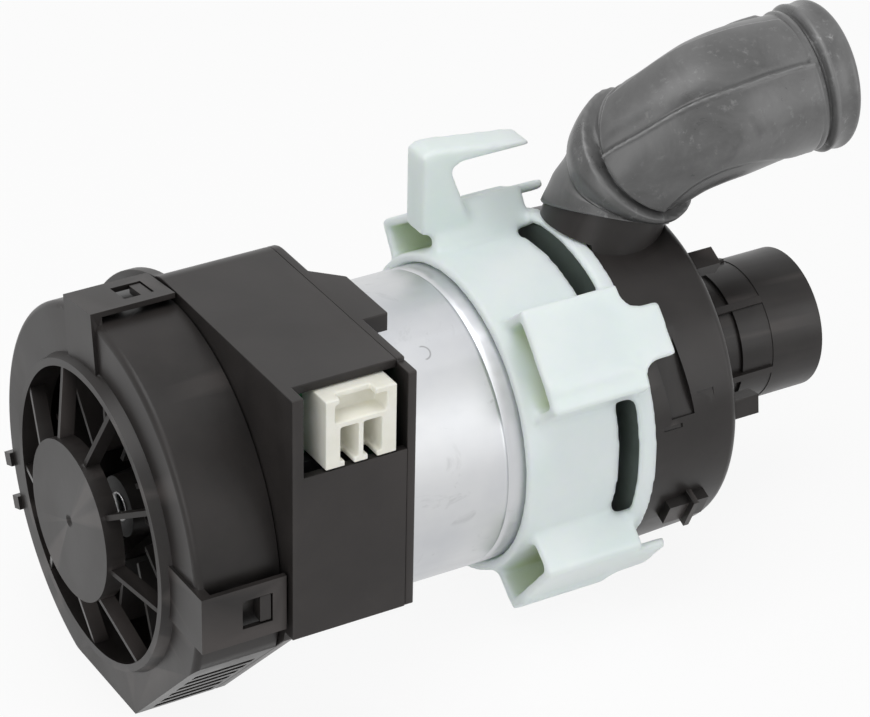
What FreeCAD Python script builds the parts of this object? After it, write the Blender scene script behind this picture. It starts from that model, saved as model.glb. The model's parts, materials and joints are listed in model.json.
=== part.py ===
import FreeCAD, Part
import math
import os
from types import SimpleNamespace

import Sketcher
from FreeCAD import Placement, Rotation, Vector

# Dishwasher circulation pump: a motor in a steel can, with a cooling fan and the electronics
# behind it, and the pump chamber in front of it.
# The frame has X along the shaft, towards the inlet, and Z up.
# The origin is the centre of the inlet spigot's mouth.

SIZES = {
    # lengths along the shaft, from the inlet mouth back to the fan
    "spigot_length": 44.7,
    "casing_depth": 26.5,
    "bracket_depth": 33.2,
    "can_length": 76.0,
    "box_setback": 46.6,
    "box_width": 33.8,
    "drum_depth": 22.6,
    "lip_height": 3.0,
    "hub_rise": 5.2,
    # motor can and its bearing cups
    "can_radius": 40.0,
    "can_wall": 1.2,
    "bead_place": 6.9,
    "bead_width": 1.3,
    "bead_depth": 0.7,
    "can_edge": 1.2,
    "dimple_radius": 2.1,
    "dimple_depth": 0.4,
    "dimple_place": 21.9,
    "dimple_angle": 58.0,
    "cup_lip_radius": 8.0,
    "shield_plate": 3.0,
    # shaft and bearings
    "shaft_radius": 4.0,
    "shaft_rear_reach": 20.5,
    "shaft_front_reach": 51.0,
    "bearing_radius": 11.0,
    "bearing_width": 7.0,
    "race_inner_radius": 6.2,
    "race_outer_radius": 8.8,
    "ball_radius": 1.9,
    "ball_count": 8,
    "ball_clearance": 0.06,
    # stator and rotor
    "stator_length": 40.0,
    "stator_place": 19.0,
    "stator_fit": 0.1,
    "stator_bore": 21.0,
    "slot_count": 12,
    "slot_bottom": 33.0,
    "slot_width": 5.0,
    "slot_mouth": 1.6,
    "tooth_lip": 1.6,
    "winding_overhang": 8.0,
    "winding_gap": 0.5,
    "insulator_plate": 1.6,
    "air_gap": 0.6,
    "magnet_thickness": 3.2,
    "magnet_count": 4,
    "magnet_gap": 1.5,
    # fan
    "fan_radius": 36.5,
    "fan_plate": 1.4,
    "fan_depth": 14.0,
    "fan_back_gap": 3.0,
    "fan_hub_radius": 8.0,
    "fan_blade_root": 15.0,
    "fan_blade": 1.4,
    "fan_blade_count": 11,
    # fan cover
    "drum_radius": 54.3,
    "drum_wall": 2.0,
    "drum_flat_cut": 3.8,
    "drum_slant_cut": 5.8,
    "drum_round": 1.8,
    "lip_radius": 40.6,
    "lip_wall": 2.0,
    "hub_radius": 21.2,
    "hub_skirt": 5.0,
    "gate_radius": 1.7,
    "gate_depth": 0.7,
    "spoke_count": 9,
    "spoke_width": 1.4,
    "spoke_depth": 4.0,
    "clip_width": 15.5,
    "clip_proud": 1.0,
    "clip_near_rise": 1.0,
    "clip_far_rise": 1.5,
    "clip_thickness": 1.4,
    "clip_rail": 3.6,
    "clip_window": 8.0,
    "clip_window_start": 10.0,
    "clip_window_length": 8.2,
    "clip_near_angle": 180.0,
    "clip_top_angle": 83.0,
    "clip_far_angle": 340.0,
    "catch_length": 3.0,
    "catch_gap": 0.3,
    "louvre_count": 6,
    "louvre_pitch": 6.2,
    "louvre_slot": 3.6,
    "louvre_angle": 225.0,
    # housing: back wall of the fan drum and the electronics box
    "wall_gap": 0.3,
    "back_wall": 3.0,
    "back_rim": 2.7,
    "box_far": 16.0,
    "box_bottom": 10.2,
    "box_wall": 2.4,
    "box_round": 9.0,
    "bay_near_depth": 12.0,
    "bay_near_wall": 5.3,
    "bay_top_depth": 8.6,
    "bay_top_wall": 5.9,
    "can_fit": 0.3,
    "shaft_hole": 7.0,
    "lid_thickness": 2.4,
    "ledge_reach": 6.8,
    "ledge_near": 34.0,
    "ledge_far": 12.8,
    "ledge_thickness": 5.0,
    "notch_depth": 6.0,
    "pillar_drop": 0.9,
    "window_floor": 35.2,
    # electronics
    "board_thickness": 1.6,
    "board_margin": 1.2,
    "board_gap": 0.6,
    "header_width": 24.0,
    "header_height": 19.0,
    "header_wall": 1.6,
    "header_place": 4.2,
    "latch_slot_height": 5.0,
    "latch_slot_depth": 6.0,
    "header_base": 2.4,
    "pin_width": 1.2,
    "pin_pitch": 7.92,
    "capacitor_radius": 3.8,
    "capacitor_length": 16.0,
    "choke_radius": 4.6,
    "choke_height": 7.0,
    "module_height": 4.0,
    "module_length": 20.0,
    # mounting bracket
    "sleeve_wall": 2.6,
    "sleeve_fit": 0.4,
    "sleeve_overlap": 3.0,
    "sleeve_length": 24.5,
    "web_thickness": 3.0,
    "web_bore": 13.0,
    "ring_radius": 47.2,
    "ring_wall": 2.5,
    "ring_width": 5.2,
    "tower_angle": 139.0,
    "tower_angle_step": 81.0,
    "tower_width": 28.0,
    "tower_face": 53.0,
    "tower_length": 29.0,
    "tower_wall": 2.5,
    "tab_width": 14.5,
    "tab_length": 10.0,
    "tab_thickness": 2.6,
    "tab_round": 4.0,
    "ridge_width": 3.0,
    "ridge_height": 0.8,
    "ridge_place": 7.5,
    "hook_place": 17.0,
    "hook_width": 9.0,
    "hook_top": 70.5,
    "hook_root": 46.0,
    "hook_post": 11.5,
    "hook_arm": 5.6,
    "hook_tip": 1.4,
    "hook_reach": 28.8,
    "hook_drop": 3.8,
    # screws between can and bracket
    "screw_circle": 30.0,
    "screw_radius": 2.0,
    "screw_head": 3.8,
    "screw_head_height": 2.4,
    "screw_length": 6.0,
    "screw_count": 4,
    # pump chamber
    "casing_radius": 46.2,
    "casing_front_radius": 45.3,
    "casing_wall": 2.8,
    "casing_round": 3.0,
    "front_wall": 3.0,
    "spigot_radius": 19.4,
    "spigot_wall": 2.4,
    "neck_radius": 18.3,
    "neck_length": 19.0,
    "spigot_land": 16.0,
    "spigot_relief": 0.2,
    "spigot_rib": 2.0,
    "spigot_rib_height": 0.7,
    "rib_gap": 0.3,
    "spigot_rib_angle": 186.0,
    "spigot_rib_angle_step": 58.0,
    "outlet_angle": 22.0,
    "outlet_seat": 51.7,
    "outlet_radius": 12.6,
    "outlet_wall": 2.0,
    "outlet_collar": 15.8,
    "outlet_root": 14.0,
    "outlet_reach": 6.0,
    "ring_clearance": 0.6,
    "lug_radius": 43.0,
    "lug_depth": 4.4,
    "lug_width": 5.4,
    "lug_length": 7.5,
    "lug_low_angle": 173.0,
    "lug_high_angle": 117.0,
    "lug_far_angle": 348.0,
    "recess_angle": 157.0,
    "recess_depth": 2.0,
    "recess_start": 2.6,
    "recess_length": 7.2,
    "recess_slant": 2.6,
    "recess_high": 13.0,
    "recess_low": 8.6,
    "groove_length": 5.8,
    "groove_width": 1.1,
    "groove_gap": 1.6,
    "ramp_place": 13.4,
    "ramp_length": 5.4,
    "ramp_width": 3.2,
    "snap_angle": 205.0,
    "snap_place": 6.0,
    "snap_length": 12.0,
    "snap_width": 7.0,
    "snap_radius": 50.0,
    "snap_rib": 1.6,
    # back plate, seal and pump impeller
    "plate_thickness": 2.5,
    "plate_setback": 2.4,
    "plate_rim": 6.0,
    "plate_rim_width": 3.4,
    "plate_hub_radius": 15.0,
    "plate_hub_depth": 15.0,
    "seal_groove": 2.4,
    "seal_place": 2.9,
    "seal_depth": 1.6,
    "seat_radius": 12.0,
    "seat_thickness": 4.5,
    "seat_bore": 5.2,
    "face_radius": 9.0,
    "face_thickness": 2.6,
    "seal_film": 0.04,
    "impeller_gap": 3.2,
    "impeller_radius": 34.0,
    "impeller_hub_radius": 7.5,
    "impeller_shroud": 1.6,
    "impeller_width": 8.0,
    "eye_radius": 14.6,
    "eye_wall": 1.5,
    "eye_length": 4.4,
    "vane_count": 6,
    "vane_thickness": 1.8,
    "vane_sweep": 14.0,
    "nut_radius": 5.6,
    "nut_height": 4.0,
    "slinger_radius": 12.0,
    "slinger_thickness": 1.6,
    "slinger_place": 12.0,
    # rubber elbow
    "elbow_wall": 2.8,
    "elbow_bend": 44.7,
    "elbow_lean_angle": 36.0,
    "elbow_rise_angle": 4.0,
    "elbow_fit": 0.1,
    "elbow_foot_radius": 15.5,
    "elbow_foot_gap": 0.4,
    "elbow_bend_radius": 19.0,
    "elbow_leg_radius": 19.6,
    "elbow_leg_length": 23.6,
    "elbow_step_count": 4,
    "bead_rise": 1.5,
    "bead_length": 4.4,
    "leg_bead_rise": 0.9,
    "neck_groove_length": 2.6,
    "cuff_radius": 20.6,
    "cuff_bore": 17.2,
    "cuff_length": 9.0,
    "cuff_round": 2.0,
}

os.makedirs("parts", exist_ok=True)
doc = FreeCAD.newDocument("circulation_pump")

sheet = doc.addObject("Spreadsheet::Sheet", "dims")
for row, (alias, number) in enumerate(SIZES.items(), start=1):
    sheet.set(f"A{row}", alias)
    sheet.set(f"B{row}", str(number))
    sheet.setAlias(f"B{row}", alias)
doc.recompute()


class Size:
    """A number together with the sheet formula that it comes from."""

    def __init__(self, number, text):
        self.number = float(number)
        self.text = text

    @staticmethod
    def of(other):
        return other if isinstance(other, Size) else Size(other, repr(float(other)))

    def __add__(self, other):
        other = Size.of(other)
        return Size(self.number + other.number, f"({self.text} + {other.text})")

    def __sub__(self, other):
        other = Size.of(other)
        return Size(self.number - other.number, f"({self.text} - {other.text})")

    def __mul__(self, other):
        other = Size.of(other)
        return Size(self.number * other.number, f"({self.text} * {other.text})")

    def __truediv__(self, other):
        other = Size.of(other)
        return Size(self.number / other.number, f"({self.text} / {other.text})")

    def __neg__(self):
        return Size(-self.number, f"(0 - {self.text})")

    def __radd__(self, other):
        return Size.of(other) + self

    def __rsub__(self, other):
        return Size.of(other) - self

    def __rmul__(self, other):
        return Size.of(other) * self


def cosine(size):
    return Size(math.cos(math.radians(size.number)), f"cos({size.text} * 1 deg)")


def sine(size):
    return Size(math.sin(math.radians(size.number)), f"sin({size.text} * 1 deg)")


d = SimpleNamespace(**{name: Size(number, f"dims.{name}") for name, number in SIZES.items()})
ZERO = Size(0, "0")

# Stations along the shaft.
MOUTH = ZERO
CASING_FRONT = -d.spigot_length
CASING_REAR = CASING_FRONT - d.casing_depth
CAN_FRONT = CASING_REAR - d.bracket_depth
CAN_REAR = CAN_FRONT - d.can_length
BOX_FRONT = CAN_FRONT - d.box_setback
BOX_REAR = BOX_FRONT - d.box_width
DRUM_FACE = BOX_REAR - d.drum_depth
LIP_FACE = DRUM_FACE - d.lip_height
HUB_FACE = LIP_FACE - d.hub_rise
# Distances from the shaft's axis.
DRUM_FLAT = d.drum_radius - d.drum_flat_cut
DRUM_SLANT = d.drum_radius - d.drum_slant_cut
BACK_RADIUS = d.drum_radius + d.back_rim
BOX_NEAR = d.can_radius + d.can_fit + d.bay_near_wall + d.bay_near_depth + d.box_wall
BOX_TOP = d.can_radius + d.can_fit + d.bay_top_wall + d.bay_top_depth + d.box_wall


def bind(item, prop, size):
    item.setExpression(prop, Size.of(size).text)


def new_body(label):
    body = doc.addObject("PartDesign::Body", label)
    body.Label = label
    return body


def origin_feature(body, role):
    return next(item for item in body.Origin.OriginFeatures if item.Role == role)


def new_sketch(body, name, role, offset=ZERO, turn=ZERO):
    """An empty sketch on an origin plane, moved along its normal and turned about it."""
    offset = Size.of(offset)
    turn = Size.of(turn)
    sketch = body.newObject("Sketcher::SketchObject", name)
    sketch.AttachmentSupport = [(origin_feature(body, role), "")]
    sketch.MapMode = "FlatFace"
    spin = Rotation(Vector(0, 0, 1), turn.number)
    sketch.AttachmentOffset = Placement(Vector(0, 0, offset.number), spin)
    bind(sketch, "AttachmentOffset.Base.z", offset)
    bind(sketch, "AttachmentOffset.Rotation.Angle", turn)
    return sketch


def tilted_sketch(body, name, role, tilt, x, y, z):
    """An empty sketch on an origin plane, tilted about its own x axis and moved by x, y, z."""
    sketch = new_sketch(body, name, role)
    sketch.AttachmentOffset = Placement(Vector(), Rotation(Vector(1, 0, 0), 1.0))
    bind(sketch, "AttachmentOffset.Rotation.Angle", tilt)
    for prop, size in (("x", x), ("y", y), ("z", z)):
        bind(sketch, f"AttachmentOffset.Base.{prop}", size)
    return sketch


def outward_sketch(body, name, turn, height):
    """An empty sketch that faces away from the shaft: its x runs along the shaft."""
    turn = Size.of(turn)
    return tilted_sketch(body, name, "XY_Plane", turn - 90, ZERO, height * cosine(turn),
                         height * sine(turn))


def tie(sketch, kind, args, size):
    """Add a measured constraint and bind it to its formula."""
    index = sketch.addConstraint(Sketcher.Constraint(kind, *args, size.number))
    bind(sketch, f"Constraints[{index}]", size)


def pin_point(sketch, item, end, x, y):
    """Hold one point of a sketch at x, y from the origin."""
    for size, kind, axis in ((x, "DistanceX", -2), (y, "DistanceY", -1)):
        size = Size.of(size)
        if size.text in ("0", "0.0"):
            sketch.addConstraint(Sketcher.Constraint("PointOnObject", item, end, axis))
        else:
            tie(sketch, kind, (-1, 1, item, end), size)


def draw_polygon(sketch, corners):
    corners = [(Size.of(x), Size.of(y)) for x, y in corners]
    seeds = [Vector(x.number, y.number, 0) for x, y in corners]
    count = len(seeds)
    first = sketch.GeometryCount
    lines = [Part.LineSegment(seeds[i], seeds[(i + 1) % count]) for i in range(count)]
    sketch.addGeometry(lines, False)
    joins = []
    for i in range(count):
        joins.append(Sketcher.Constraint("Coincident", first + i, 2, first + (i + 1) % count, 1))
    sketch.addConstraint(joins)
    for i, (x, y) in enumerate(corners):
        pin_point(sketch, first + i, 1, x, y)


def draw_rectangle(sketch, low_x, high_x, low_y, high_y):
    draw_polygon(sketch, [(low_x, low_y), (high_x, low_y), (high_x, high_y), (low_x, high_y)])


def draw_circle(sketch, x, y, radius):
    x = Size.of(x)
    y = Size.of(y)
    centre = Vector(x.number, y.number, 0)
    item = sketch.addGeometry(Part.Circle(centre, Vector(0, 0, 1), radius.number), False)
    tie(sketch, "Radius", (item,), radius)
    pin_point(sketch, item, 3, x, y)


def pad(body, sketch, length, both_sides=False):
    feature = body.newObject("PartDesign::Pad", sketch.Name + "_pad")
    feature.Profile = sketch
    feature.Length = Size.of(length).number
    bind(feature, "Length", length)
    feature.Midplane = both_sides
    sketch.Visibility = False
    return feature


def pocket(body, sketch, length, both_sides=False):
    """Cut along the sketch's own normal."""
    feature = body.newObject("PartDesign::Pocket", sketch.Name + "_pocket")
    feature.Profile = sketch
    feature.Length = Size.of(length).number
    bind(feature, "Length", length)
    feature.Midplane = both_sides
    feature.Reversed = not both_sides
    return feature


def turn_about_shaft(body, name, profile, cut=False):
    """Turn a profile of (x, radius) corners about the shaft."""
    sketch = new_sketch(body, name, "XY_Plane")
    draw_polygon(sketch, profile)
    kind = "PartDesign::Groove" if cut else "PartDesign::Revolution"
    feature = body.newObject(kind, name + "_turned")
    feature.Profile = sketch
    feature.ReferenceAxis = (sketch, ["H_Axis"])
    feature.Angle = 360
    return feature


def ring(body, name, start, end, inner, outer):
    return turn_about_shaft(body, name, [(start, inner), (end, inner), (end, outer), (start, outer)])


def repeat_about_shaft(body, name, features, count):
    pattern = body.newObject("PartDesign::PolarPattern", name)
    pattern.Originals = features
    pattern.Axis = (origin_feature(body, "X_Axis"), [""])
    pattern.Angle = 360
    pattern.Occurrences = int(count.number)
    bind(pattern, "Occurrences", count)
    body.Tip = pattern
    return pattern


def round_edges(body, name, radius, test):
    """Fillet each edge of the body so far that the test picks."""
    doc.recompute()
    base = body.Tip
    names = [f"Edge{i}" for i, edge in enumerate(base.Shape.Edges, start=1) if test(edge)]
    fillet = body.newObject("PartDesign::Fillet", name)
    fillet.Base = (base, names)
    fillet.Radius = radius.number
    bind(fillet, "Radius", radius)
    return fillet


def is_circle(edge, x, radius):
    if not isinstance(edge.Curve, Part.Circle):
        return False
    centre = edge.Curve.Center
    return abs(centre.x - x.number) < 0.01 and abs(edge.Curve.Radius - radius.number) < 0.01


def simple_ring(label, start, end, inner, outer):
    body = new_body(label)
    ring(body, label + "_section", start, end, inner, outer)
    return body


def box_section(body, name, station, length, low_x, high_x, low_y, high_y, turn=ZERO, cut=False):
    """A block or a cut along the shaft, its rectangle given in a frame turned about the shaft."""
    sketch = new_sketch(body, name, "YZ_Plane", station, turn)
    draw_rectangle(sketch, low_x, high_x, low_y, high_y)
    return pocket(body, sketch, length) if cut else pad(body, sketch, length)


def make_motor_can():
    """Drawn steel can, open at the rear, with the front bearing's cup in its face."""
    body = new_body("motor_can")
    inner = d.can_radius - d.can_wall
    cup_outer = d.bearing_radius + d.can_wall
    cup_end = CAN_FRONT + d.bearing_width - d.can_wall
    bead = CAN_FRONT - d.bead_place
    turn_about_shaft(body, "can_section", [
        (CAN_REAR, d.can_radius),
        (bead - d.bead_width, d.can_radius),
        (bead, d.can_radius - d.bead_depth),
        (bead + d.bead_width, d.can_radius),
        (CAN_FRONT - d.can_edge, d.can_radius),
        (CAN_FRONT, d.can_radius - d.can_edge),
        (CAN_FRONT, cup_outer),
        (cup_end + d.can_wall, cup_outer),
        (cup_end + d.can_wall, d.cup_lip_radius),
        (cup_end, d.cup_lip_radius),
        (cup_end, d.bearing_radius),
        (CAN_FRONT - d.can_wall, d.bearing_radius),
        (CAN_FRONT - d.can_wall, inner - d.can_edge),
        (CAN_FRONT - d.can_edge - d.can_wall, inner),
        (CAN_REAR, inner),
    ])
    dimple = outward_sketch(body, "dimple", d.dimple_angle, d.can_radius - d.dimple_depth)
    draw_circle(dimple, CAN_FRONT - d.dimple_place, 0, d.dimple_radius)
    pocket(body, dimple, d.can_wall)
    holes = new_sketch(body, "screw_holes", "YZ_Plane", CAN_FRONT - d.can_wall * 2)
    draw_circle(holes, d.screw_circle, 0, d.screw_radius)
    hole = pocket(body, holes, d.can_wall * 3)
    doc.recompute()
    repeat_about_shaft(body, "screw_hole_ring", [hole], d.screw_count)
    return body


def make_rear_shield():
    """Plate that closes the can and holds the rear bearing."""
    body = new_body("rear_end_shield")
    plate_end = CAN_REAR + d.shield_plate
    cup_outer = d.bearing_radius + d.can_wall
    cup_end = plate_end + d.bearing_width
    turn_about_shaft(body, "shield_section", [
        (CAN_REAR, d.cup_lip_radius),
        (CAN_REAR, d.can_radius - d.can_wall),
        (plate_end, d.can_radius - d.can_wall),
        (plate_end, cup_outer),
        (cup_end, cup_outer),
        (cup_end, d.bearing_radius),
        (plate_end, d.bearing_radius),
        (plate_end, d.cup_lip_radius),
    ])
    return body


def make_bearing(prefix, start):
    """Deep-groove ball bearing: outer ring, inner ring and the set of balls."""
    middle = start + d.bearing_width / 2
    pitch = (d.race_inner_radius + d.race_outer_radius) / 2
    race = d.ball_radius + d.ball_clearance
    outer = new_body(prefix + "_bearing_outer_ring")
    ring(outer, prefix + "_outer_section", start, start + d.bearing_width,
         d.race_outer_radius, d.bearing_radius)
    inner = new_body(prefix + "_bearing_inner_ring")
    ring(inner, prefix + "_inner_section", start, start + d.bearing_width,
         d.shaft_radius, d.race_inner_radius)
    for body in (outer, inner):
        groove_sketch = new_sketch(body, body.Label + "_race", "XY_Plane")
        draw_circle(groove_sketch, middle, pitch, race)
        groove = body.newObject("PartDesign::Groove", body.Label + "_race_cut")
        groove.Profile = groove_sketch
        groove.ReferenceAxis = (groove_sketch, ["H_Axis"])
        groove.Angle = 360
    balls = new_body(prefix + "_bearing_balls")
    ball_sketch = new_sketch(balls, prefix + "_ball_half", "XY_Plane")
    seeds = Part.ArcOfCircle(Part.Circle(Vector(middle.number, pitch.number, 0), Vector(0, 0, 1),
                                         d.ball_radius.number), 0, math.pi)
    arc = ball_sketch.addGeometry(seeds, False)
    chord = ball_sketch.addGeometry(Part.LineSegment(
        Vector(middle.number - d.ball_radius.number, pitch.number, 0),
        Vector(middle.number + d.ball_radius.number, pitch.number, 0)), False)
    ball_sketch.addConstraint(Sketcher.Constraint("Coincident", arc, 2, chord, 1))
    ball_sketch.addConstraint(Sketcher.Constraint("Coincident", arc, 1, chord, 2))
    ball_sketch.addConstraint(Sketcher.Constraint("PointOnObject", arc, 3, chord))
    ball_sketch.addConstraint(Sketcher.Constraint("Horizontal", chord))
    tie(ball_sketch, "Radius", (arc,), d.ball_radius)
    pin_point(ball_sketch, arc, 3, middle, pitch)
    ball = balls.newObject("PartDesign::Revolution", prefix + "_ball")
    ball.Profile = ball_sketch
    ball.ReferenceAxis = (ball_sketch, [f"Edge{chord + 1}"])
    ball.Angle = 360
    doc.recompute()
    repeat_about_shaft(balls, prefix + "_ball_ring", [ball], d.ball_count)
    return [outer, inner, balls]


STATOR_FRONT = CAN_FRONT - d.stator_place
STATOR_REAR = STATOR_FRONT - d.stator_length
ROTOR_RADIUS = d.stator_bore - d.air_gap


def make_stator():
    """Laminated core with open slots, its end insulators and the copper winding."""
    core = new_body("stator_core")
    outer = d.can_radius - d.can_wall - d.stator_fit
    ring(core, "core_section", STATOR_REAR, STATOR_FRONT, d.stator_bore, outer)
    tip = d.stator_bore + d.tooth_lip
    slot = new_sketch(core, "slot", "YZ_Plane", STATOR_REAR - 1)
    half = d.slot_width / 2
    mouth = d.slot_mouth / 2
    draw_polygon(slot, [
        (d.stator_bore - 2, -mouth), (tip, -mouth), (tip, -half), (d.slot_bottom, -half),
        (d.slot_bottom, half), (tip, half), (tip, mouth), (d.stator_bore - 2, mouth),
    ])
    cut = pocket(core, slot, d.stator_length + 2)
    doc.recompute()
    repeat_about_shaft(core, "slots", [cut], d.slot_count)

    insulators = new_body("slot_insulators")
    insulator_inner = d.stator_bore + d.tooth_lip
    ring(insulators, "front_insulator", STATOR_FRONT, STATOR_FRONT + d.insulator_plate,
         insulator_inner, d.slot_bottom + d.tooth_lip)
    ring(insulators, "rear_insulator", STATOR_REAR - d.insulator_plate, STATOR_REAR,
         insulator_inner, d.slot_bottom + d.tooth_lip)
    window = new_sketch(insulators, "insulator_slot", "YZ_Plane", STATOR_REAR - d.insulator_plate - 1)
    draw_rectangle(window, tip + d.winding_gap / 2, d.slot_bottom, -half, half)
    window_cut = pocket(insulators, window, d.stator_length + d.insulator_plate * 2 + 2)
    doc.recompute()
    repeat_about_shaft(insulators, "insulator_slots", [window_cut], d.slot_count)

    copper = new_body("stator_windings")
    inner = tip + d.winding_gap
    outer_copper = d.slot_bottom - d.winding_gap
    start = STATOR_REAR - d.insulator_plate
    end = STATOR_FRONT + d.insulator_plate
    ring(copper, "rear_end_turns", start - d.winding_overhang, start, inner, outer_copper)
    ring(copper, "front_end_turns", end, end + d.winding_overhang, inner, outer_copper)
    bar = box_section(copper, "slot_copper", start, end - start, inner, outer_copper,
                      -half + d.winding_gap, half - d.winding_gap)
    doc.recompute()
    repeat_about_shaft(copper, "slot_coppers", [bar], d.slot_count)
    return [core, insulators, copper]


def make_rotor():
    """Steel core on the shaft with four magnet shells round it."""
    core_radius = ROTOR_RADIUS - d.magnet_thickness
    core = simple_ring("rotor_core", STATOR_REAR, STATOR_FRONT, d.shaft_radius, core_radius)
    magnets = new_body("rotor_magnets")
    ring(magnets, "magnet_section", STATOR_REAR, STATOR_FRONT, core_radius, ROTOR_RADIUS)
    gap = new_sketch(magnets, "magnet_gap_section", "YZ_Plane", STATOR_REAR - 1)
    half = d.magnet_gap / 2
    draw_rectangle(gap, core_radius - 2, ROTOR_RADIUS + 1, -half, half)
    cut = pocket(magnets, gap, d.stator_length + 2)
    doc.recompute()
    repeat_about_shaft(magnets, "magnet_gaps", [cut], d.magnet_count)
    return [core, magnets]


SHAFT_REAR = BOX_REAR - d.shaft_rear_reach + d.fan_back_gap
SHAFT_FRONT = CAN_FRONT + d.shaft_front_reach


def make_shaft():
    body = new_body("rotor_shaft")
    edge = d.shaft_radius / 8
    turn_about_shaft(body, "shaft_section", [
        (SHAFT_REAR, 0), (SHAFT_REAR, d.shaft_radius - edge), (SHAFT_REAR + edge, d.shaft_radius),
        (SHAFT_FRONT - edge, d.shaft_radius), (SHAFT_FRONT, d.shaft_radius - edge),
        (SHAFT_FRONT, 0),
    ])
    return body


FAN_BACK = BOX_REAR - d.fan_back_gap
FAN_FRONT = FAN_BACK - d.fan_depth


def make_fan():
    """Radial cooling fan: a hub, a back plate and straight blades."""
    body = new_body("fan_impeller")
    turn_about_shaft(body, "fan_section", [
        (FAN_FRONT, d.shaft_radius), (FAN_FRONT, d.fan_hub_radius),
        (FAN_BACK - d.fan_plate, d.fan_hub_radius + d.fan_plate),
        (FAN_BACK - d.fan_plate, d.fan_radius), (FAN_BACK, d.fan_radius),
        (FAN_BACK, d.shaft_radius),
    ])
    blade_sketch = new_sketch(body, "blade_section", "YZ_Plane", FAN_FRONT)
    half = d.fan_blade / 2
    lean = d.fan_blade_root / 2
    draw_polygon(blade_sketch, [
        (d.fan_blade_root, -half), (d.fan_radius - half, lean - half),
        (d.fan_radius - half, lean + half), (d.fan_blade_root, half),
    ])
    blade = pad(body, blade_sketch, d.fan_depth - d.fan_plate / 2)
    doc.recompute()
    repeat_about_shaft(body, "fan_blades", [blade], d.fan_blade_count)
    return body


def draw_drum(sketch, radius, flat, slant):
    """The drum's outline: a circle with a flat below and a slanted flat for the outlet."""
    far_y = math.sqrt(radius.number ** 2 - flat.number ** 2)
    corner_y = flat.number - slant.number * math.sqrt(2)
    reach = math.acos(slant.number / radius.number)
    end = math.radians(d.louvre_angle.number) - reach
    far = Vector(far_y, -flat.number, 0)
    corner = Vector(corner_y, -flat.number, 0)
    near = Vector(radius.number * math.cos(end), radius.number * math.sin(end), 0)
    first = sketch.GeometryCount
    circle = Part.Circle(Vector(0, 0, 0), Vector(0, 0, 1), radius.number)
    sketch.addGeometry([
        Part.LineSegment(far, corner),
        Part.LineSegment(corner, near),
        Part.ArcOfCircle(circle, -math.atan2(flat.number, far_y), end),
    ], False)
    bottom = first
    slope = first + 1
    arc = first + 2
    sketch.addConstraint([
        Sketcher.Constraint("Coincident", arc, 3, -1, 1),
        Sketcher.Constraint("Coincident", bottom, 1, arc, 1),
        Sketcher.Constraint("Coincident", bottom, 2, slope, 1),
        Sketcher.Constraint("Coincident", slope, 2, arc, 2),
        Sketcher.Constraint("Horizontal", bottom),
    ])
    tie(sketch, "Radius", (arc,), radius)
    tie(sketch, "DistanceY", (-1, 1, bottom, 1), -flat)
    sketch.addConstraint(Sketcher.Constraint("Angle", slope, math.radians(135)))
    tie(sketch, "Distance", (-1, 1, slope), slant)


CLIPS = (("near", d.clip_near_angle, BACK_RADIUS + d.clip_near_rise),
         ("top", d.clip_top_angle, BACK_RADIUS))


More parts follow.
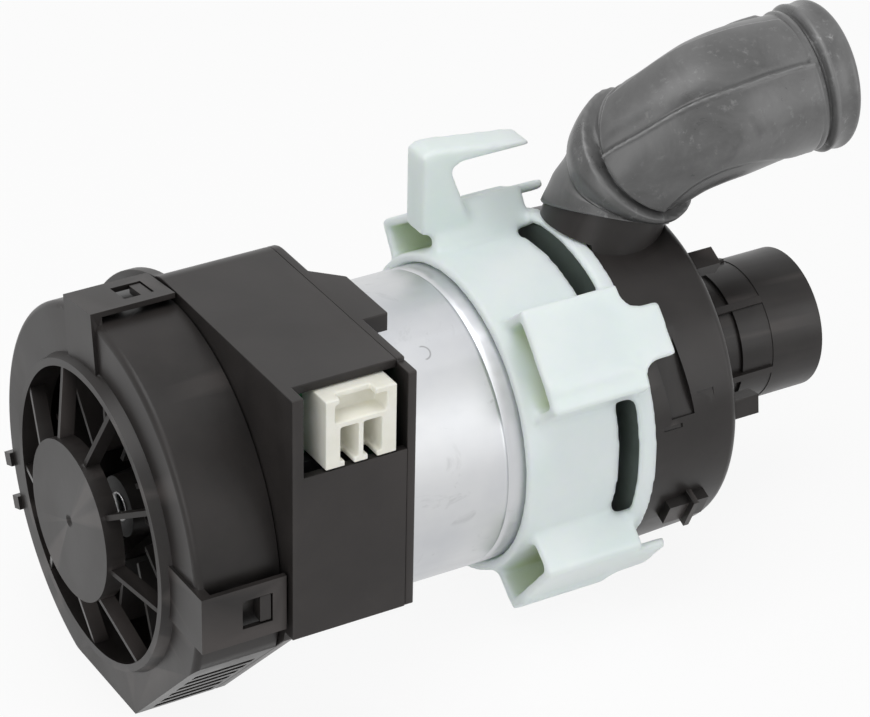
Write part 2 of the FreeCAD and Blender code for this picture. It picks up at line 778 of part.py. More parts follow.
def make_fan_cover():
    """Moulded cover: drum wall, intake ring with nine spokes, hub disc, clips and louvres."""
    body = new_body("fan_cover")
    drum = new_sketch(body, "drum_outline", "YZ_Plane", DRUM_FACE)
    draw_drum(drum, d.drum_radius, DRUM_FLAT, DRUM_SLANT)
    pad(body, drum, d.drum_depth - d.wall_gap)
    round_edges(body, "drum_edge", d.drum_round, lambda edge: is_circle(edge, DRUM_FACE, d.drum_radius))
    hollow = new_sketch(body, "drum_hollow", "YZ_Plane", DRUM_FACE + d.drum_wall)
    draw_drum(hollow, d.drum_radius - d.drum_wall, DRUM_FLAT - d.drum_wall,
              DRUM_SLANT - d.drum_wall)
    pocket(body, hollow, d.drum_depth)
    intake = new_sketch(body, "intake", "YZ_Plane", DRUM_FACE - 1)
    draw_circle(intake, 0, 0, d.lip_radius - d.lip_wall / 2)
    pocket(body, intake, d.drum_wall + 2)
    lip_inner = d.lip_radius - d.lip_wall
    turn_about_shaft(body, "intake_lip", [
        (LIP_FACE, lip_inner), (LIP_FACE, d.lip_radius), (DRUM_FACE, d.lip_radius + d.lip_wall / 2),
        (DRUM_FACE + d.drum_wall, d.lip_radius + d.lip_wall / 2),
        (DRUM_FACE + d.drum_wall + d.lip_height, lip_inner),
    ])
    skirt_inner = d.hub_radius - d.lip_wall
    turn_about_shaft(body, "hub_disc", [
        (HUB_FACE + d.gate_depth, 0), (HUB_FACE + d.gate_depth, d.gate_radius / 2),
        (HUB_FACE, d.gate_radius), (HUB_FACE, d.hub_radius),
        (HUB_FACE + d.hub_skirt, d.hub_radius), (HUB_FACE + d.hub_skirt, skirt_inner),
        (HUB_FACE + d.lip_wall, skirt_inner), (HUB_FACE + d.lip_wall, 0),
    ])
    spoke_sketch = new_sketch(body, "spoke", "XZ_Plane")
    hub_side = HUB_FACE + d.hub_skirt - d.spoke_depth
    ring_side = LIP_FACE + d.gate_depth
    root = d.hub_radius - d.lip_wall / 2
    rim = d.lip_radius - d.lip_wall / 2
    draw_polygon(spoke_sketch, [
        (hub_side, -root), (hub_side + d.spoke_depth, -root),
        (ring_side + d.spoke_depth, -rim), (ring_side, -rim),
    ])
    spoke = pad(body, spoke_sketch, d.spoke_width, both_sides=True)
    doc.recompute()
    repeat_about_shaft(body, "spokes", [spoke], d.spoke_count)

    half = d.clip_width / 2
    window_half = d.clip_window / 2
    face = DRUM_FACE - d.clip_proud
    for name, turn, radius in CLIPS:
        box_section(body, f"clip_{name}_arm", face, d.clip_proud + d.drum_wall, d.lip_radius,
                    radius, -half, half, turn)
        box_section(body, f"clip_{name}_loop", face, d.drum_depth + d.clip_proud - d.wall_gap * 2,
                    radius - d.clip_thickness, radius, -half, half, turn)
        box_section(body, f"clip_{name}_window", DRUM_FACE + d.clip_window_start,
                    d.clip_window_length, radius - d.clip_thickness - d.wall_gap, radius + 1,
                    -window_half, window_half, turn, cut=True)
    for name, low in (("low", -half), ("high", half - d.clip_rail)):
        box_section(body, f"clip_far_rail_{name}", face, d.drum_depth + d.clip_proud - d.wall_gap * 2,
                    d.drum_radius - d.drum_wall, d.drum_radius + d.clip_far_rise, low,
                    low + d.clip_rail,
                    d.clip_far_angle)
    slat_start = DRUM_FACE + d.drum_wall * 2
    slat_length = d.drum_depth - d.drum_wall * 3
    for index in range(int(d.louvre_count.number)):
        place = d.louvre_pitch * (index - (d.louvre_count.number - 1) / 2) + d.louvre_pitch / 2
        box_section(body, f"louvre_{index + 1}", slat_start, slat_length,
                    DRUM_SLANT - d.drum_wall * 2, DRUM_SLANT + 1,
                    place - d.louvre_slot / 2, place + d.louvre_slot / 2, d.louvre_angle, cut=True)
    return body


BAY_REAR = BOX_REAR + d.back_wall
BAY_NEAR = -BOX_NEAR + d.box_wall
BAY_TOP = BOX_TOP - d.box_wall
BAY_BOTTOM = -d.box_bottom + d.box_wall


def make_housing():
    """One moulding: the fan drum's back wall and the electronics box round the can."""
    body = new_body("motor_housing")
    box_section(body, "box_block", BOX_REAR, d.box_width - d.lid_thickness, -BOX_NEAR, d.box_far,
                -d.box_bottom, BOX_TOP)
    round_edges(body, "box_far_edge", d.box_round, lambda edge: all(
        abs(v.Y - d.box_far.number) < 0.01 and abs(v.Z - BOX_TOP.number) < 0.01
        for v in edge.Vertexes))
    wall = new_sketch(body, "back_wall_outline", "YZ_Plane", BOX_REAR)
    draw_drum(wall, BACK_RADIUS, DRUM_FLAT, DRUM_SLANT)
    pad(body, wall, d.back_wall)
    bore = new_sketch(body, "can_bore", "YZ_Plane", BOX_REAR + d.back_wall)
    draw_circle(bore, 0, 0, d.can_radius + d.can_fit)
    pocket(body, bore, d.box_width)
    shaft_way = new_sketch(body, "shaft_way", "YZ_Plane", BOX_REAR - 1)
    draw_circle(shaft_way, 0, 0, d.shaft_hole)
    pocket(body, shaft_way, d.back_wall + 2)
    bay = new_sketch(body, "electronics_bay", "YZ_Plane", BAY_REAR)
    draw_polygon(bay, [
        (BAY_NEAR, BAY_BOTTOM), (BAY_NEAR + d.bay_near_depth, BAY_BOTTOM),
        (BAY_NEAR + d.bay_near_depth, BAY_TOP - d.bay_top_depth),
        (d.box_far - d.box_round, BAY_TOP - d.bay_top_depth),
        (d.box_far - d.box_round, BAY_TOP), (BAY_NEAR, BAY_TOP),
    ])
    pocket(body, bay, d.box_width)
    window = new_sketch(body, "header_window", "YZ_Plane", BAY_REAR)
    draw_rectangle(window, -BOX_NEAR - 1, -BOX_NEAR + d.notch_depth, d.window_floor,
                   BOX_TOP + 1)
    pocket(body, window, d.box_width)
    half = d.clip_window / 2 - d.catch_gap
    tongue_low = d.drum_radius + d.wall_gap
    catch_end = DRUM_FACE + d.clip_window_start + d.clip_window_length - d.catch_gap
    catch_start = catch_end - d.catch_length
    for name, turn, radius in CLIPS:
        tongue_high = radius - d.clip_thickness - d.wall_gap
        box_section(body, f"tongue_{name}", catch_start, BOX_REAR + d.back_wall - catch_start,
                    tongue_low, tongue_high, -half, half, turn)
        box_section(body, f"catch_{name}", catch_start, d.catch_length,
                    tongue_low, radius - d.wall_gap, -half, half, turn)
    return body


def make_lid():
    """Front wall of the electronics box, with the ledge that reaches over the can."""
    body = new_body("electronics_lid")
    start = BOX_FRONT - d.lid_thickness
    box_section(body, "lid_block", start, d.lid_thickness, -BOX_NEAR, d.box_far,
                -d.box_bottom, BOX_TOP)
    round_edges(body, "lid_far_edge", d.box_round, lambda edge: all(
        abs(v.Y - d.box_far.number) < 0.01 and abs(v.Z - BOX_TOP.number) < 0.01
        for v in edge.Vertexes))
    ledge = new_sketch(body, "ledge", "XY_Plane", BOX_TOP - d.ledge_thickness)
    ledge_end = BOX_FRONT + d.ledge_reach
    draw_polygon(ledge, [
        (start, -d.ledge_near), (ledge_end, -d.ledge_near), (ledge_end, -d.ledge_far),
        (BOX_FRONT, d.ledge_reach - d.ledge_far), (start, d.ledge_reach - d.ledge_far),
    ])
    pad(body, ledge, d.ledge_thickness)
    box_section(body, "pillar_top", start - 1, d.lid_thickness + 2, -BOX_NEAR - 1,
                -BOX_NEAR + d.notch_depth, BOX_TOP - d.pillar_drop, BOX_TOP + 1, cut=True)
    bore = new_sketch(body, "lid_bore", "YZ_Plane", start - 1)
    draw_circle(bore, 0, 0, d.can_radius + d.can_fit)
    pocket(body, bore, d.lid_thickness + 2)
    return body


def make_electronics():
    """Control board on edge in the near bay, with its components and the power header."""
    margin = d.board_margin
    board_face = BAY_NEAR + d.bay_near_depth - d.board_gap - d.board_thickness
    start = BAY_REAR + margin
    length = d.box_width - d.back_wall - d.lid_thickness - margin * 2
    board = new_body("control_board")
    box_section(board, "board_plate", start, length, board_face, board_face + d.board_thickness,
                BAY_BOTTOM + margin, BAY_TOP - margin)

    header = new_body("power_header")
    header_start = BOX_REAR + d.header_place
    header_low = d.window_floor + d.catch_gap
    header_high = header_low + d.header_height
    front = -BOX_NEAR
    depth = board_face - front
    box_section(header, "header_block", header_start, d.header_width, front, board_face,
                header_low, header_high)
    wall = d.header_wall
    latch_low = header_high - wall - d.latch_slot_height
    box_section(header, "latch_slot", header_start + wall * 2, d.header_width - wall * 4,
                front - 1, front + d.latch_slot_depth, latch_low, header_high - wall, cut=True)
    box_section(header, "latch_opening", header_start + wall * 3, d.header_width * 0.5,
                front - 1, front + d.latch_slot_depth / 2, latch_low, header_high + 1, cut=True)
    middle = header_start + d.header_width / 2
    cavity = d.pin_pitch - wall
    for side in (-1, 1):
        centre = middle + d.pin_pitch * side / 2
        box_section(header, f"cavity_{side + 2}", centre - cavity / 2, cavity, front - 1,
                    board_face - d.header_base, header_low + wall, latch_low - wall, cut=True)
        box_section(header, f"key_{side + 2}", centre - cavity / 4, cavity / 2, front - 1,
                    front + d.latch_slot_depth, header_low - 1, header_low + wall * 2, cut=True)
    pins = new_body("header_pins")
    pin_height = (header_low + wall + latch_low - wall) / 2
    half = d.pin_width / 2
    for side in (-1, 1):
        centre = middle + d.pin_pitch * side / 2
        box_section(header, f"pin_hole_{side + 2}", centre - half, d.pin_width, front,
                    board_face + 1, pin_height - half, pin_height + half, cut=True)
        box_section(board, f"board_pin_hole_{side + 2}", centre - half, d.pin_width,
                    board_face - 1, board_face + d.board_thickness + 1,
                    pin_height - half, pin_height + half, cut=True)
        box_section(pins, f"pin_{side + 2}", centre - half, d.pin_width, front + wall * 2,
                    board_face + d.board_thickness, pin_height - half, pin_height + half)

    capacitors = new_body("board_capacitors")
    capacitor_sketch = new_sketch(capacitors, "capacitor_ends", "YZ_Plane", start + margin)
    for place in (1, 3):
        draw_circle(capacitor_sketch, board_face - d.capacitor_radius,
                    BAY_BOTTOM + margin + d.capacitor_radius * place, d.capacitor_radius - 0.2)
    pad(capacitors, capacitor_sketch, d.capacitor_length)
    choke = new_body("board_choke")
    choke_sketch = new_sketch(choke, "choke_ring", "XZ_Plane", -board_face)
    choke_x = start + length - d.choke_radius - margin
    choke_z = BAY_BOTTOM + margin * 2 + d.capacitor_radius * 4 + d.choke_radius
    draw_circle(choke_sketch, choke_x, choke_z, d.choke_radius)
    draw_circle(choke_sketch, choke_x, choke_z, d.choke_radius / 2)
    pad(choke, choke_sketch, d.choke_height)
    module = new_body("power_module")
    box_section(module, "module_block", start + margin, d.module_length,
                board_face - d.module_height, board_face, d.window_floor - d.module_length / 2,
                d.window_floor - margin)
    return [board, header, pins, capacitors, choke, module]


TOWER_STEPS = (-1, 0, 1)


def make_bracket():
    """Moulded motor bracket: sleeve, front ring, four hollow towers with tabs, and a hook."""
    body = new_body("mounting_bracket")
    inner = d.can_radius + d.sleeve_fit
    outer = inner + d.sleeve_wall
    turn_about_shaft(body, "sleeve", [
        (CAN_FRONT - d.sleeve_overlap, inner), (CAN_FRONT - d.sleeve_overlap, outer),
        (CAN_FRONT + d.sleeve_length, outer), (CAN_FRONT + d.sleeve_length, inner),
        (CAN_FRONT + d.web_thickness, inner), (CAN_FRONT + d.web_thickness, d.web_bore),
        (CAN_FRONT, d.web_bore), (CAN_FRONT, inner),
    ])
    turns = [d.tower_angle + d.tower_angle_step * step for step in TOWER_STEPS] + [d.tower_angle + 180]
    half = d.tower_width / 2
    root = outer - d.sleeve_wall / 2
    for index, turn in enumerate(turns, start=1):
        box_section(body, f"tower_{index}", CAN_FRONT, d.tower_length, root, d.tower_face,
                    -half, half, turn)
        box_section(body, f"ridge_{index}", CAN_FRONT, d.tower_length - d.tower_wall,
                    d.tower_face, d.tower_face + d.ridge_height,
                    d.ridge_place - d.ridge_width / 2, d.ridge_place + d.ridge_width / 2, turn)
        tab = outward_sketch(body, f"tab_{index}", turn, d.tower_face - d.tab_thickness)
        tower_end = CAN_FRONT + d.tower_length
        tab_end = tower_end + d.tab_length
        wide = d.tab_width / 2 + d.tab_round
        near_root = d.tab_round * (1 - math.sqrt(0.5))
        draw_polygon(tab, [
            (tower_end - d.tower_wall, -wide), (tower_end, -wide),
            (tower_end + near_root, -d.tab_width / 2 - near_root),
            (tower_end + d.tab_round, -d.tab_width / 2), (tab_end, -d.tab_width / 2),
            (tab_end, d.tab_width / 2), (tower_end + d.tab_round, d.tab_width / 2),
            (tower_end + near_root, d.tab_width / 2 + near_root),
            (tower_end, wide), (tower_end - d.tower_wall, wide),
        ])
        pad(body, tab, d.tab_thickness)
    ring(body, "front_ring", CASING_REAR - d.ring_width, CASING_REAR,
         d.ring_radius - d.ring_wall, d.ring_radius)
    for index, turn in enumerate(turns, start=1):
        box_section(body, f"tower_hollow_{index}", CAN_FRONT - 1, d.tower_length - d.tower_wall + 1,
                    outer, d.tower_face - d.tower_wall, -half + d.tower_wall,
                    half - d.tower_wall, turn, cut=True)
    hook = new_sketch(body, "hook_side", "XZ_Plane", -d.hook_place)
    post_end = CAN_FRONT - d.sleeve_overlap + d.hook_post
    hook_end = CAN_FRONT + d.hook_reach
    draw_polygon(hook, [
        (CAN_FRONT - d.sleeve_overlap, d.hook_root),
        (post_end + d.hook_post / 3, d.hook_root),
        (post_end - d.hook_post / 4, d.hook_top - d.hook_arm - d.hook_tip),
        (post_end, d.hook_top - d.hook_arm),
        (hook_end, d.hook_top - d.hook_drop - d.hook_tip),
        (hook_end, d.hook_top - d.hook_drop),
        (CAN_FRONT, d.hook_top),
        (CAN_FRONT - d.sleeve_overlap, d.hook_top - d.hook_tip),
    ])
    pad(body, hook, d.hook_width, both_sides=True)
    holes = new_sketch(body, "bracket_screw_hole", "YZ_Plane", CAN_FRONT - 1)
    draw_circle(holes, d.screw_circle, 0, d.screw_radius)
    hole = pocket(body, holes, d.web_thickness + 2)
    doc.recompute()
    repeat_about_shaft(body, "bracket_screw_holes", [hole], d.screw_count)
    return body


def make_screws():
    """Pan-head screws that hold the can to the bracket's web."""
    body = new_body("bracket_screws")
    face = CAN_FRONT + d.web_thickness
    head = new_sketch(body, "screw_head_circle", "YZ_Plane", face)
    draw_circle(head, d.screw_circle, 0, d.screw_head)
    head_pad = pad(body, head, d.screw_head_height)
    shank = new_sketch(body, "screw_shank_circle", "YZ_Plane", face - d.screw_length)
    draw_circle(shank, d.screw_circle, 0, d.screw_radius)
    shank_pad = pad(body, shank, d.screw_length)
    slot = box_section(body, "screw_slot", face + d.screw_head_height / 2, d.screw_head_height,
                       d.screw_circle - d.screw_head / 8, d.screw_circle + d.screw_head / 8,
                       -d.screw_head - 1, d.screw_head + 1, cut=True)
    doc.recompute()
    repeat_about_shaft(body, "screw_ring", [head_pad, shank_pad, slot], d.screw_count)
    return body


CASING_MIDDLE = (CASING_REAR + CASING_FRONT) / 2
OUTLET_BORE = d.outlet_radius - d.outlet_wall


def outlet_turned(body, name, profile, cut=False):
    """Turn a profile of (radius, height) corners about the leaning outlet axis."""
    sketch = new_sketch(body, name, "XZ_Plane", ZERO, -d.outlet_angle)
    bind(sketch, "AttachmentOffset.Base.x", CASING_MIDDLE)
    bind(sketch, "AttachmentOffset.Base.y", d.outlet_seat)
    draw_polygon(sketch, profile)
    kind = "PartDesign::Groove" if cut else "PartDesign::Revolution"
    feature = body.newObject(kind, name + "_turned")
    feature.Profile = sketch
    feature.ReferenceAxis = (sketch, ["V_Axis"])
    feature.Angle = 360
    return feature


def make_casing():
    """Moulded pump casing: chamber, inlet spigot in front and leaning outlet spigot on top."""
    body = new_body("pump_casing")
    inner = d.casing_radius - d.casing_wall
    bore = d.spigot_radius - d.spigot_wall
    turn_about_shaft(body, "casing_solid", [
        (CASING_REAR, 0), (CASING_REAR, d.casing_radius), (CASING_FRONT, d.casing_front_radius),
        (CASING_FRONT, d.neck_radius), (CASING_FRONT + d.neck_length, d.neck_radius),
        (CASING_FRONT + d.neck_length, d.spigot_radius - d.spigot_relief),
        (-d.spigot_land, d.spigot_radius - d.spigot_relief), (-d.spigot_land, d.spigot_radius),
        (MOUTH, d.spigot_radius), (MOUTH, 0),
    ])
    round_edges(body, "casing_front_edge", d.casing_round,
                lambda edge: is_circle(edge, CASING_FRONT, d.casing_front_radius))
    outlet_turned(body, "outlet_spigot", [
        (0, -d.outlet_root), (d.outlet_collar, -d.outlet_root), (d.outlet_collar, 0),
        (d.outlet_radius, 0), (d.outlet_radius, d.outlet_reach), (0, d.outlet_reach),
    ])
    turn_about_shaft(body, "ring_way", [
        (CASING_REAR - d.bracket_depth, 0), (CASING_REAR, 0),
        (CASING_REAR, d.ring_radius + d.ring_clearance),
        (CASING_REAR - d.bracket_depth, d.ring_radius + d.ring_clearance),
    ], cut=True)
    turn_about_shaft(body, "chamber", [
        (CASING_REAR - 1, 0), (CASING_REAR - 1, inner), (CASING_FRONT - d.front_wall, inner),
        (CASING_FRONT - d.front_wall, bore), (MOUTH + 1, bore), (MOUTH + 1, 0),
    ], cut=True)
    outlet_turned(body, "outlet_bore", [
        (0, -d.outlet_root * 2), (OUTLET_BORE, -d.outlet_root * 2),
        (OUTLET_BORE, d.outlet_reach + 1), (0, d.outlet_reach + 1),
    ], cut=True)
    half = d.spigot_rib / 2
    for index in range(3):
        for side in (0, 180):
            turn = d.spigot_rib_angle - d.spigot_rib_angle_step * index + side
            box_section(body, f"spigot_rib_{index + 1}_{side}", CASING_FRONT - d.front_wall / 2,
                        d.spigot_length - d.spigot_land - d.rib_gap + d.front_wall / 2,
                        d.neck_radius - half, d.spigot_radius + d.spigot_rib_height,
                        -half, half, turn)
    for name, turn in (("low", d.lug_low_angle), ("high", d.lug_high_angle), ("far", d.lug_far_angle)):
        box_section(body, f"lug_{name}", CASING_FRONT - d.front_wall / 2,
                    d.lug_length + d.front_wall / 2, d.lug_radius - d.lug_depth, d.lug_radius,
                    -d.lug_width / 2, d.lug_width / 2, turn)
    make_snap_details(body)
    return body


def make_snap_details(body):
    """Recess, groove and ramp beside the bracket's tab, and the snap block below."""
    floor = d.casing_radius - d.recess_depth
    recess = outward_sketch(body, "snap_recess", d.recess_angle, floor)
    start = CASING_REAR + d.recess_start
    end = start + d.recess_length
    draw_polygon(recess, [
        (start, d.recess_high), (end, d.recess_high), (end + d.recess_slant, -d.recess_low),
        (start + d.recess_slant, -d.recess_low),
    ])
    pocket(body, recess, d.recess_depth * 4)
    groove = outward_sketch(body, "snap_groove", d.recess_angle, floor)
    groove_high = -d.recess_low - d.groove_gap
    draw_rectangle(groove, start, start + d.groove_length, groove_high - d.groove_width, groove_high)
    pocket(body, groove, d.recess_depth * 4)
    ramp = outward_sketch(body, "snap_ramp", d.recess_angle, floor + d.recess_depth / 2)
    ramp_start = CASING_REAR + d.ramp_place
    draw_polygon(ramp, [
        (ramp_start, -d.ramp_width), (ramp_start + d.ramp_length, -d.ramp_width),
        (ramp_start + d.ramp_length, -d.ramp_width * 2),
    ])
    pocket(body, ramp, d.recess_depth * 4)
    snap_start = CASING_REAR + d.snap_place
    wall_middle = d.casing_radius - d.casing_wall / 2
    half = d.snap_width / 2
    box_section(body, "snap_block", snap_start, d.snap_length, wall_middle,
                d.snap_radius - d.snap_rib, -half, half, d.snap_angle)
    box_section(body, "snap_rib", snap_start + d.snap_length / 2, d.snap_rib, wall_middle,
                d.snap_radius, -half - d.snap_rib, half + d.snap_rib, d.snap_angle)


def make_back_plate():
    """Plate that closes the chamber, with the seal's seat in its hub."""
    body = new_body("pump_back_plate")
    start = CASING_REAR - d.plate_setback
    face = start + d.plate_thickness
    rim_end = start + d.plate_rim
    rim = d.casing_radius - d.casing_wall - d.can_fit / 3
    groove = rim - d.seal_depth
    hub_start = start - d.plate_hub_depth
    seat_end = hub_start + d.plate_thickness
    turn_about_shaft(body, "plate_section", [
        (hub_start, d.seat_bore), (hub_start, d.plate_hub_radius), (start, d.plate_hub_radius),
        (start, rim), (start + d.seal_place, rim), (start + d.seal_place, groove),
        (start + d.seal_place + d.seal_groove, groove),
        (start + d.seal_place + d.seal_groove, rim), (rim_end, rim),
        (rim_end, rim - d.plate_rim_width), (face, rim - d.plate_rim_width),
        (face, d.seat_radius), (seat_end, d.seat_radius), (seat_end, d.seat_bore),
    ])
    return body


def make_seal_and_impeller():
    """O-ring, shaft seal, closed impeller and its nut."""
    start = CASING_REAR - d.plate_setback
    rim = d.casing_radius - d.casing_wall - d.can_fit / 3
    groove = rim - d.seal_depth
    section = (d.casing_radius - d.casing_wall - groove) / 2
    o_ring = new_body("casing_o_ring")
    o_sketch = new_sketch(o_ring, "o_ring_section", "XY_Plane")
    draw_circle(o_sketch, start + d.seal_place + d.seal_groove / 2, groove + section, section)
    turned = o_ring.newObject("PartDesign::Revolution", "o_ring_turned")
    turned.Profile = o_sketch
    turned.ReferenceAxis = (o_sketch, ["H_Axis"])
    turned.Angle = 360

    seat_start = start - d.plate_hub_depth + d.plate_thickness
    seat_end = seat_start + d.seat_thickness
    seat = simple_ring("seal_seat_ring", seat_start, seat_end, d.seat_bore, d.seat_radius)
    face_start = seat_end + d.seal_film
    face_end = face_start + d.face_thickness
    face = simple_ring("seal_face_ring", face_start, face_end, d.shaft_radius, d.face_radius)
    impeller_back = CASING_REAR + d.impeller_gap
    bellows = new_body("seal_bellows")
    fold = (impeller_back - face_end) / 4
    turn_about_shaft(bellows, "bellows_section", [
        (face_end, d.shaft_radius), (face_end, d.face_radius),
        (face_end + fold, d.face_radius - d.seal_depth), (face_end + fold * 2, d.face_radius),
        (face_end + fold * 3, d.face_radius - d.seal_depth), (impeller_back, d.face_radius),
        (impeller_back, d.shaft_radius),
    ])

    impeller = new_body("pump_impeller")
    back_end = impeller_back + d.impeller_shroud
    front_start = back_end + d.impeller_width
    front_end = front_start + d.impeller_shroud
    turn_about_shaft(impeller, "back_shroud", [
        (impeller_back, d.shaft_radius), (impeller_back, d.impeller_radius),
        (back_end, d.impeller_radius), (back_end, d.impeller_hub_radius * 1.4),
        (front_start, d.impeller_hub_radius), (front_start, d.shaft_radius),
    ])
    eye_outer = d.eye_radius + d.eye_wall
    turn_about_shaft(impeller, "front_shroud", [
        (front_start, d.eye_radius), (front_start, d.impeller_radius),
        (front_end, d.impeller_radius), (front_end, eye_outer),
        (front_end + d.eye_length, eye_outer), (front_end + d.eye_length, d.eye_radius),
    ])
    vane_sketch = new_sketch(impeller, "vane_section", "YZ_Plane", back_end - d.impeller_shroud / 2)
    root = d.impeller_hub_radius * 1.2
    half = d.vane_thickness / 2
    mid = d.impeller_radius / 2
    tip = d.impeller_radius - d.vane_thickness * 2
    draw_polygon(vane_sketch, [
        (root, -half), (mid, d.vane_sweep / 4 - half), (tip, d.vane_sweep - half),
        (tip, d.vane_sweep + half), (mid, d.vane_sweep / 4 + half), (root, half),
    ])
    vane = pad(impeller, vane_sketch, d.impeller_width + d.impeller_shroud)
    doc.recompute()
    repeat_about_shaft(impeller, "vanes", [vane], d.vane_count)

    nut = new_body("impeller_nut")
    nut_sketch = new_sketch(nut, "nut_outline", "YZ_Plane", front_start)
    corner = d.nut_radius
    flat = corner * math.cos(math.radians(30))
    draw_polygon(nut_sketch, [
        (corner, 0), (corner / 2, flat), (-corner / 2, flat), (-corner, 0),
        (-corner / 2, -flat), (corner / 2, -flat),
    ])
    draw_circle(nut_sketch, 0, 0, d.shaft_radius)
    pad(nut, nut_sketch, d.nut_height)

    slinger = new_body("shaft_slinger")
    slinger_start = CAN_FRONT + d.slinger_place
    turn_about_shaft(slinger, "slinger_section", [
        (slinger_start, d.shaft_radius), (slinger_start, d.shaft_radius + d.slinger_thickness),
        (slinger_start + d.slinger_thickness, d.slinger_radius),
        (slinger_start + d.slinger_thickness * 2, d.slinger_radius),
        (slinger_start + d.slinger_thickness * 2, d.shaft_radius),
    ])
    return [o_ring, seat, face, bellows, impeller, nut, slinger]


def elbow_station(body, name, lean, x, z, radius):
    """A circle across the elbow where its path leans by this angle from upright."""
    sketch = tilted_sketch(body, name, "XY_Plane", ZERO, x, ZERO, z)
    sketch.AttachmentOffset = Placement(Vector(), Rotation(Vector(0, 1, 0), 1.0))
    bind(sketch, "AttachmentOffset.Rotation.Angle", lean)
    draw_circle(sketch, 0, 0, radius)
    return sketch


def loft(body, name, sections, cut=False):
    kind = "PartDesign::SubtractiveLoft" if cut else "PartDesign::AdditiveLoft"
    feature = body.newObject(kind, name)
    feature.Profile = sections[0]
    feature.Sections = sections[1:]
    feature.Ruled = False
    return feature


def make_elbow():
    """Rubber outlet elbow: a foot on the casing's collar, a widening bend, a leg and a cuff."""
    body = new_body("outlet_elbow")
    steps = int(d.elbow_step_count.number)
    seat_x = CASING_MIDDLE
    seat_z = d.outlet_seat
    top_lean = 90 - d.elbow_rise_angle
    centre_x = seat_x + d.elbow_bend * cosine(d.elbow_lean_angle)
    centre_z = seat_z - d.elbow_bend * sine(d.elbow_lean_angle)
    end_x = centre_x - d.elbow_bend * cosine(top_lean)
    end_z = centre_z + d.elbow_bend * sine(top_lean)

    def on_bend(share, foot=d.elbow_foot_radius, bend=d.elbow_bend_radius):
        lean = d.elbow_lean_angle + (top_lean - d.elbow_lean_angle) * share
        x = centre_x - d.elbow_bend * cosine(lean)
        z = centre_z + d.elbow_bend * sine(lean)
        return lean, x, z, foot + (bend - foot) * share

    def on_leg(distance, radius):
        x = end_x + distance * sine(top_lean)
        z = end_z + distance * cosine(top_lean)
        return top_lean, x, z, radius

    def stations(name, foot, bend, leg):
        sections = [elbow_station(body, f"{name}_seat", d.outlet_angle, seat_x, seat_z, foot)]
        for step in range(1, steps + 1):
            station = on_bend(step / steps, foot, bend)
            sections.append(elbow_station(body, f"{name}_{step}", *station))
        sections.append(elbow_station(body, f"{name}_end", *on_leg(d.elbow_leg_length, leg)))
        return sections

    outside = stations("outside", d.elbow_foot_radius, d.elbow_bend_radius, d.elbow_leg_radius)
    loft(body, "elbow_outside", outside)
    make_elbow_rings(body, on_bend, on_leg)
    drop = d.bead_length * 2
    below = elbow_station(body, "seat_face", d.outlet_angle, seat_x - drop * sine(d.outlet_angle),
                          seat_z - drop * cosine(d.outlet_angle), d.elbow_foot_radius * 2)
    pocket(body, below, drop)
    bore = d.elbow_leg_radius - d.elbow_wall
    inside = stations("inside", OUTLET_BORE, d.elbow_bend_radius - d.elbow_wall, bore)
    mouth = on_leg(d.elbow_leg_length + d.cuff_length + 1, bore)
    inside.append(elbow_station(body, "inside_mouth", *mouth))
    loft(body, "elbow_inside", inside, cut=True)
    socket = elbow_station(body, "foot_socket", d.outlet_angle, seat_x, seat_z,
                           d.outlet_radius + d.elbow_fit)
    pocket(body, socket, d.outlet_reach + d.elbow_foot_gap)
    cuff_bore = elbow_station(body, "cuff_bore", *on_leg(d.elbow_leg_length, d.cuff_bore))
    pocket(body, cuff_bore, d.cuff_length + 1)
    return body


def make_elbow_rings(body, on_bend, on_leg):
    """Beads round the foot and the leg's end, and the cuff."""
    steps = d.elbow_step_count.number
    for index in range(2):
        share = (index + 1) / (steps * 1.5)
        lean, x, z, radius = on_bend(share)
        bead = elbow_station(body, f"bead_{index + 1}", lean, x, z, radius + d.bead_rise)
        pad(body, bead, d.bead_length, both_sides=True)
    lean, x, z, radius = on_leg(d.elbow_leg_length - d.neck_groove_length * 2, d.elbow_leg_radius)
    leg_bead = elbow_station(body, "leg_bead", lean, x, z, radius + d.leg_bead_rise)
    pad(body, leg_bead, d.neck_groove_length)
    lean, x, z, radius = on_leg(d.elbow_leg_length, d.cuff_radius)
    cuff = elbow_station(body, "cuff", lean, x, z, radius)
    pad(body, cuff, d.cuff_length)
    middle = on_leg(d.elbow_leg_length + d.cuff_length / 2, d.cuff_radius)[1].number
    round_edges(body, "cuff_edge", d.cuff_round, lambda edge: (
        isinstance(edge.Curve, Part.Circle) and edge.Curve.Center.x > middle
        and abs(edge.Curve.Radius - d.cuff_radius.number) < 0.01))


def finish(bodies):
    doc.recompute()
    for item in doc.Objects:
        if "Invalid" in item.State or "Error" in item.State:
            raise RuntimeError(f"{item.Label} failed: {item.State}")
    for body in bodies:
        shape = body.Shape
        if shape.isNull() or not shape.isValid():
            raise RuntimeError(f"{body.Label} has no valid shape")
        shape.exportStep(f"parts/{body.Label}.step")
        print(body.Label, len(shape.Solids), round(shape.Volume, 1))


made = [make_motor_can(), make_rear_shield()]
made += make_bearing("rear", CAN_REAR + d.shield_plate)
made += make_bearing("front", CAN_FRONT - d.can_wall)
made += make_stator()
made += make_rotor()
made += [make_shaft(), make_fan(), make_fan_cover(), make_housing(), make_lid()]
made += make_electronics()
made += [make_bracket(), make_screws(), make_casing(), make_back_plate()]
made += make_seal_and_impeller()
made += [make_elbow()]
finish(made)
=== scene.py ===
import json
import math

import bmesh
import bpy
from mathutils import Matrix, Vector


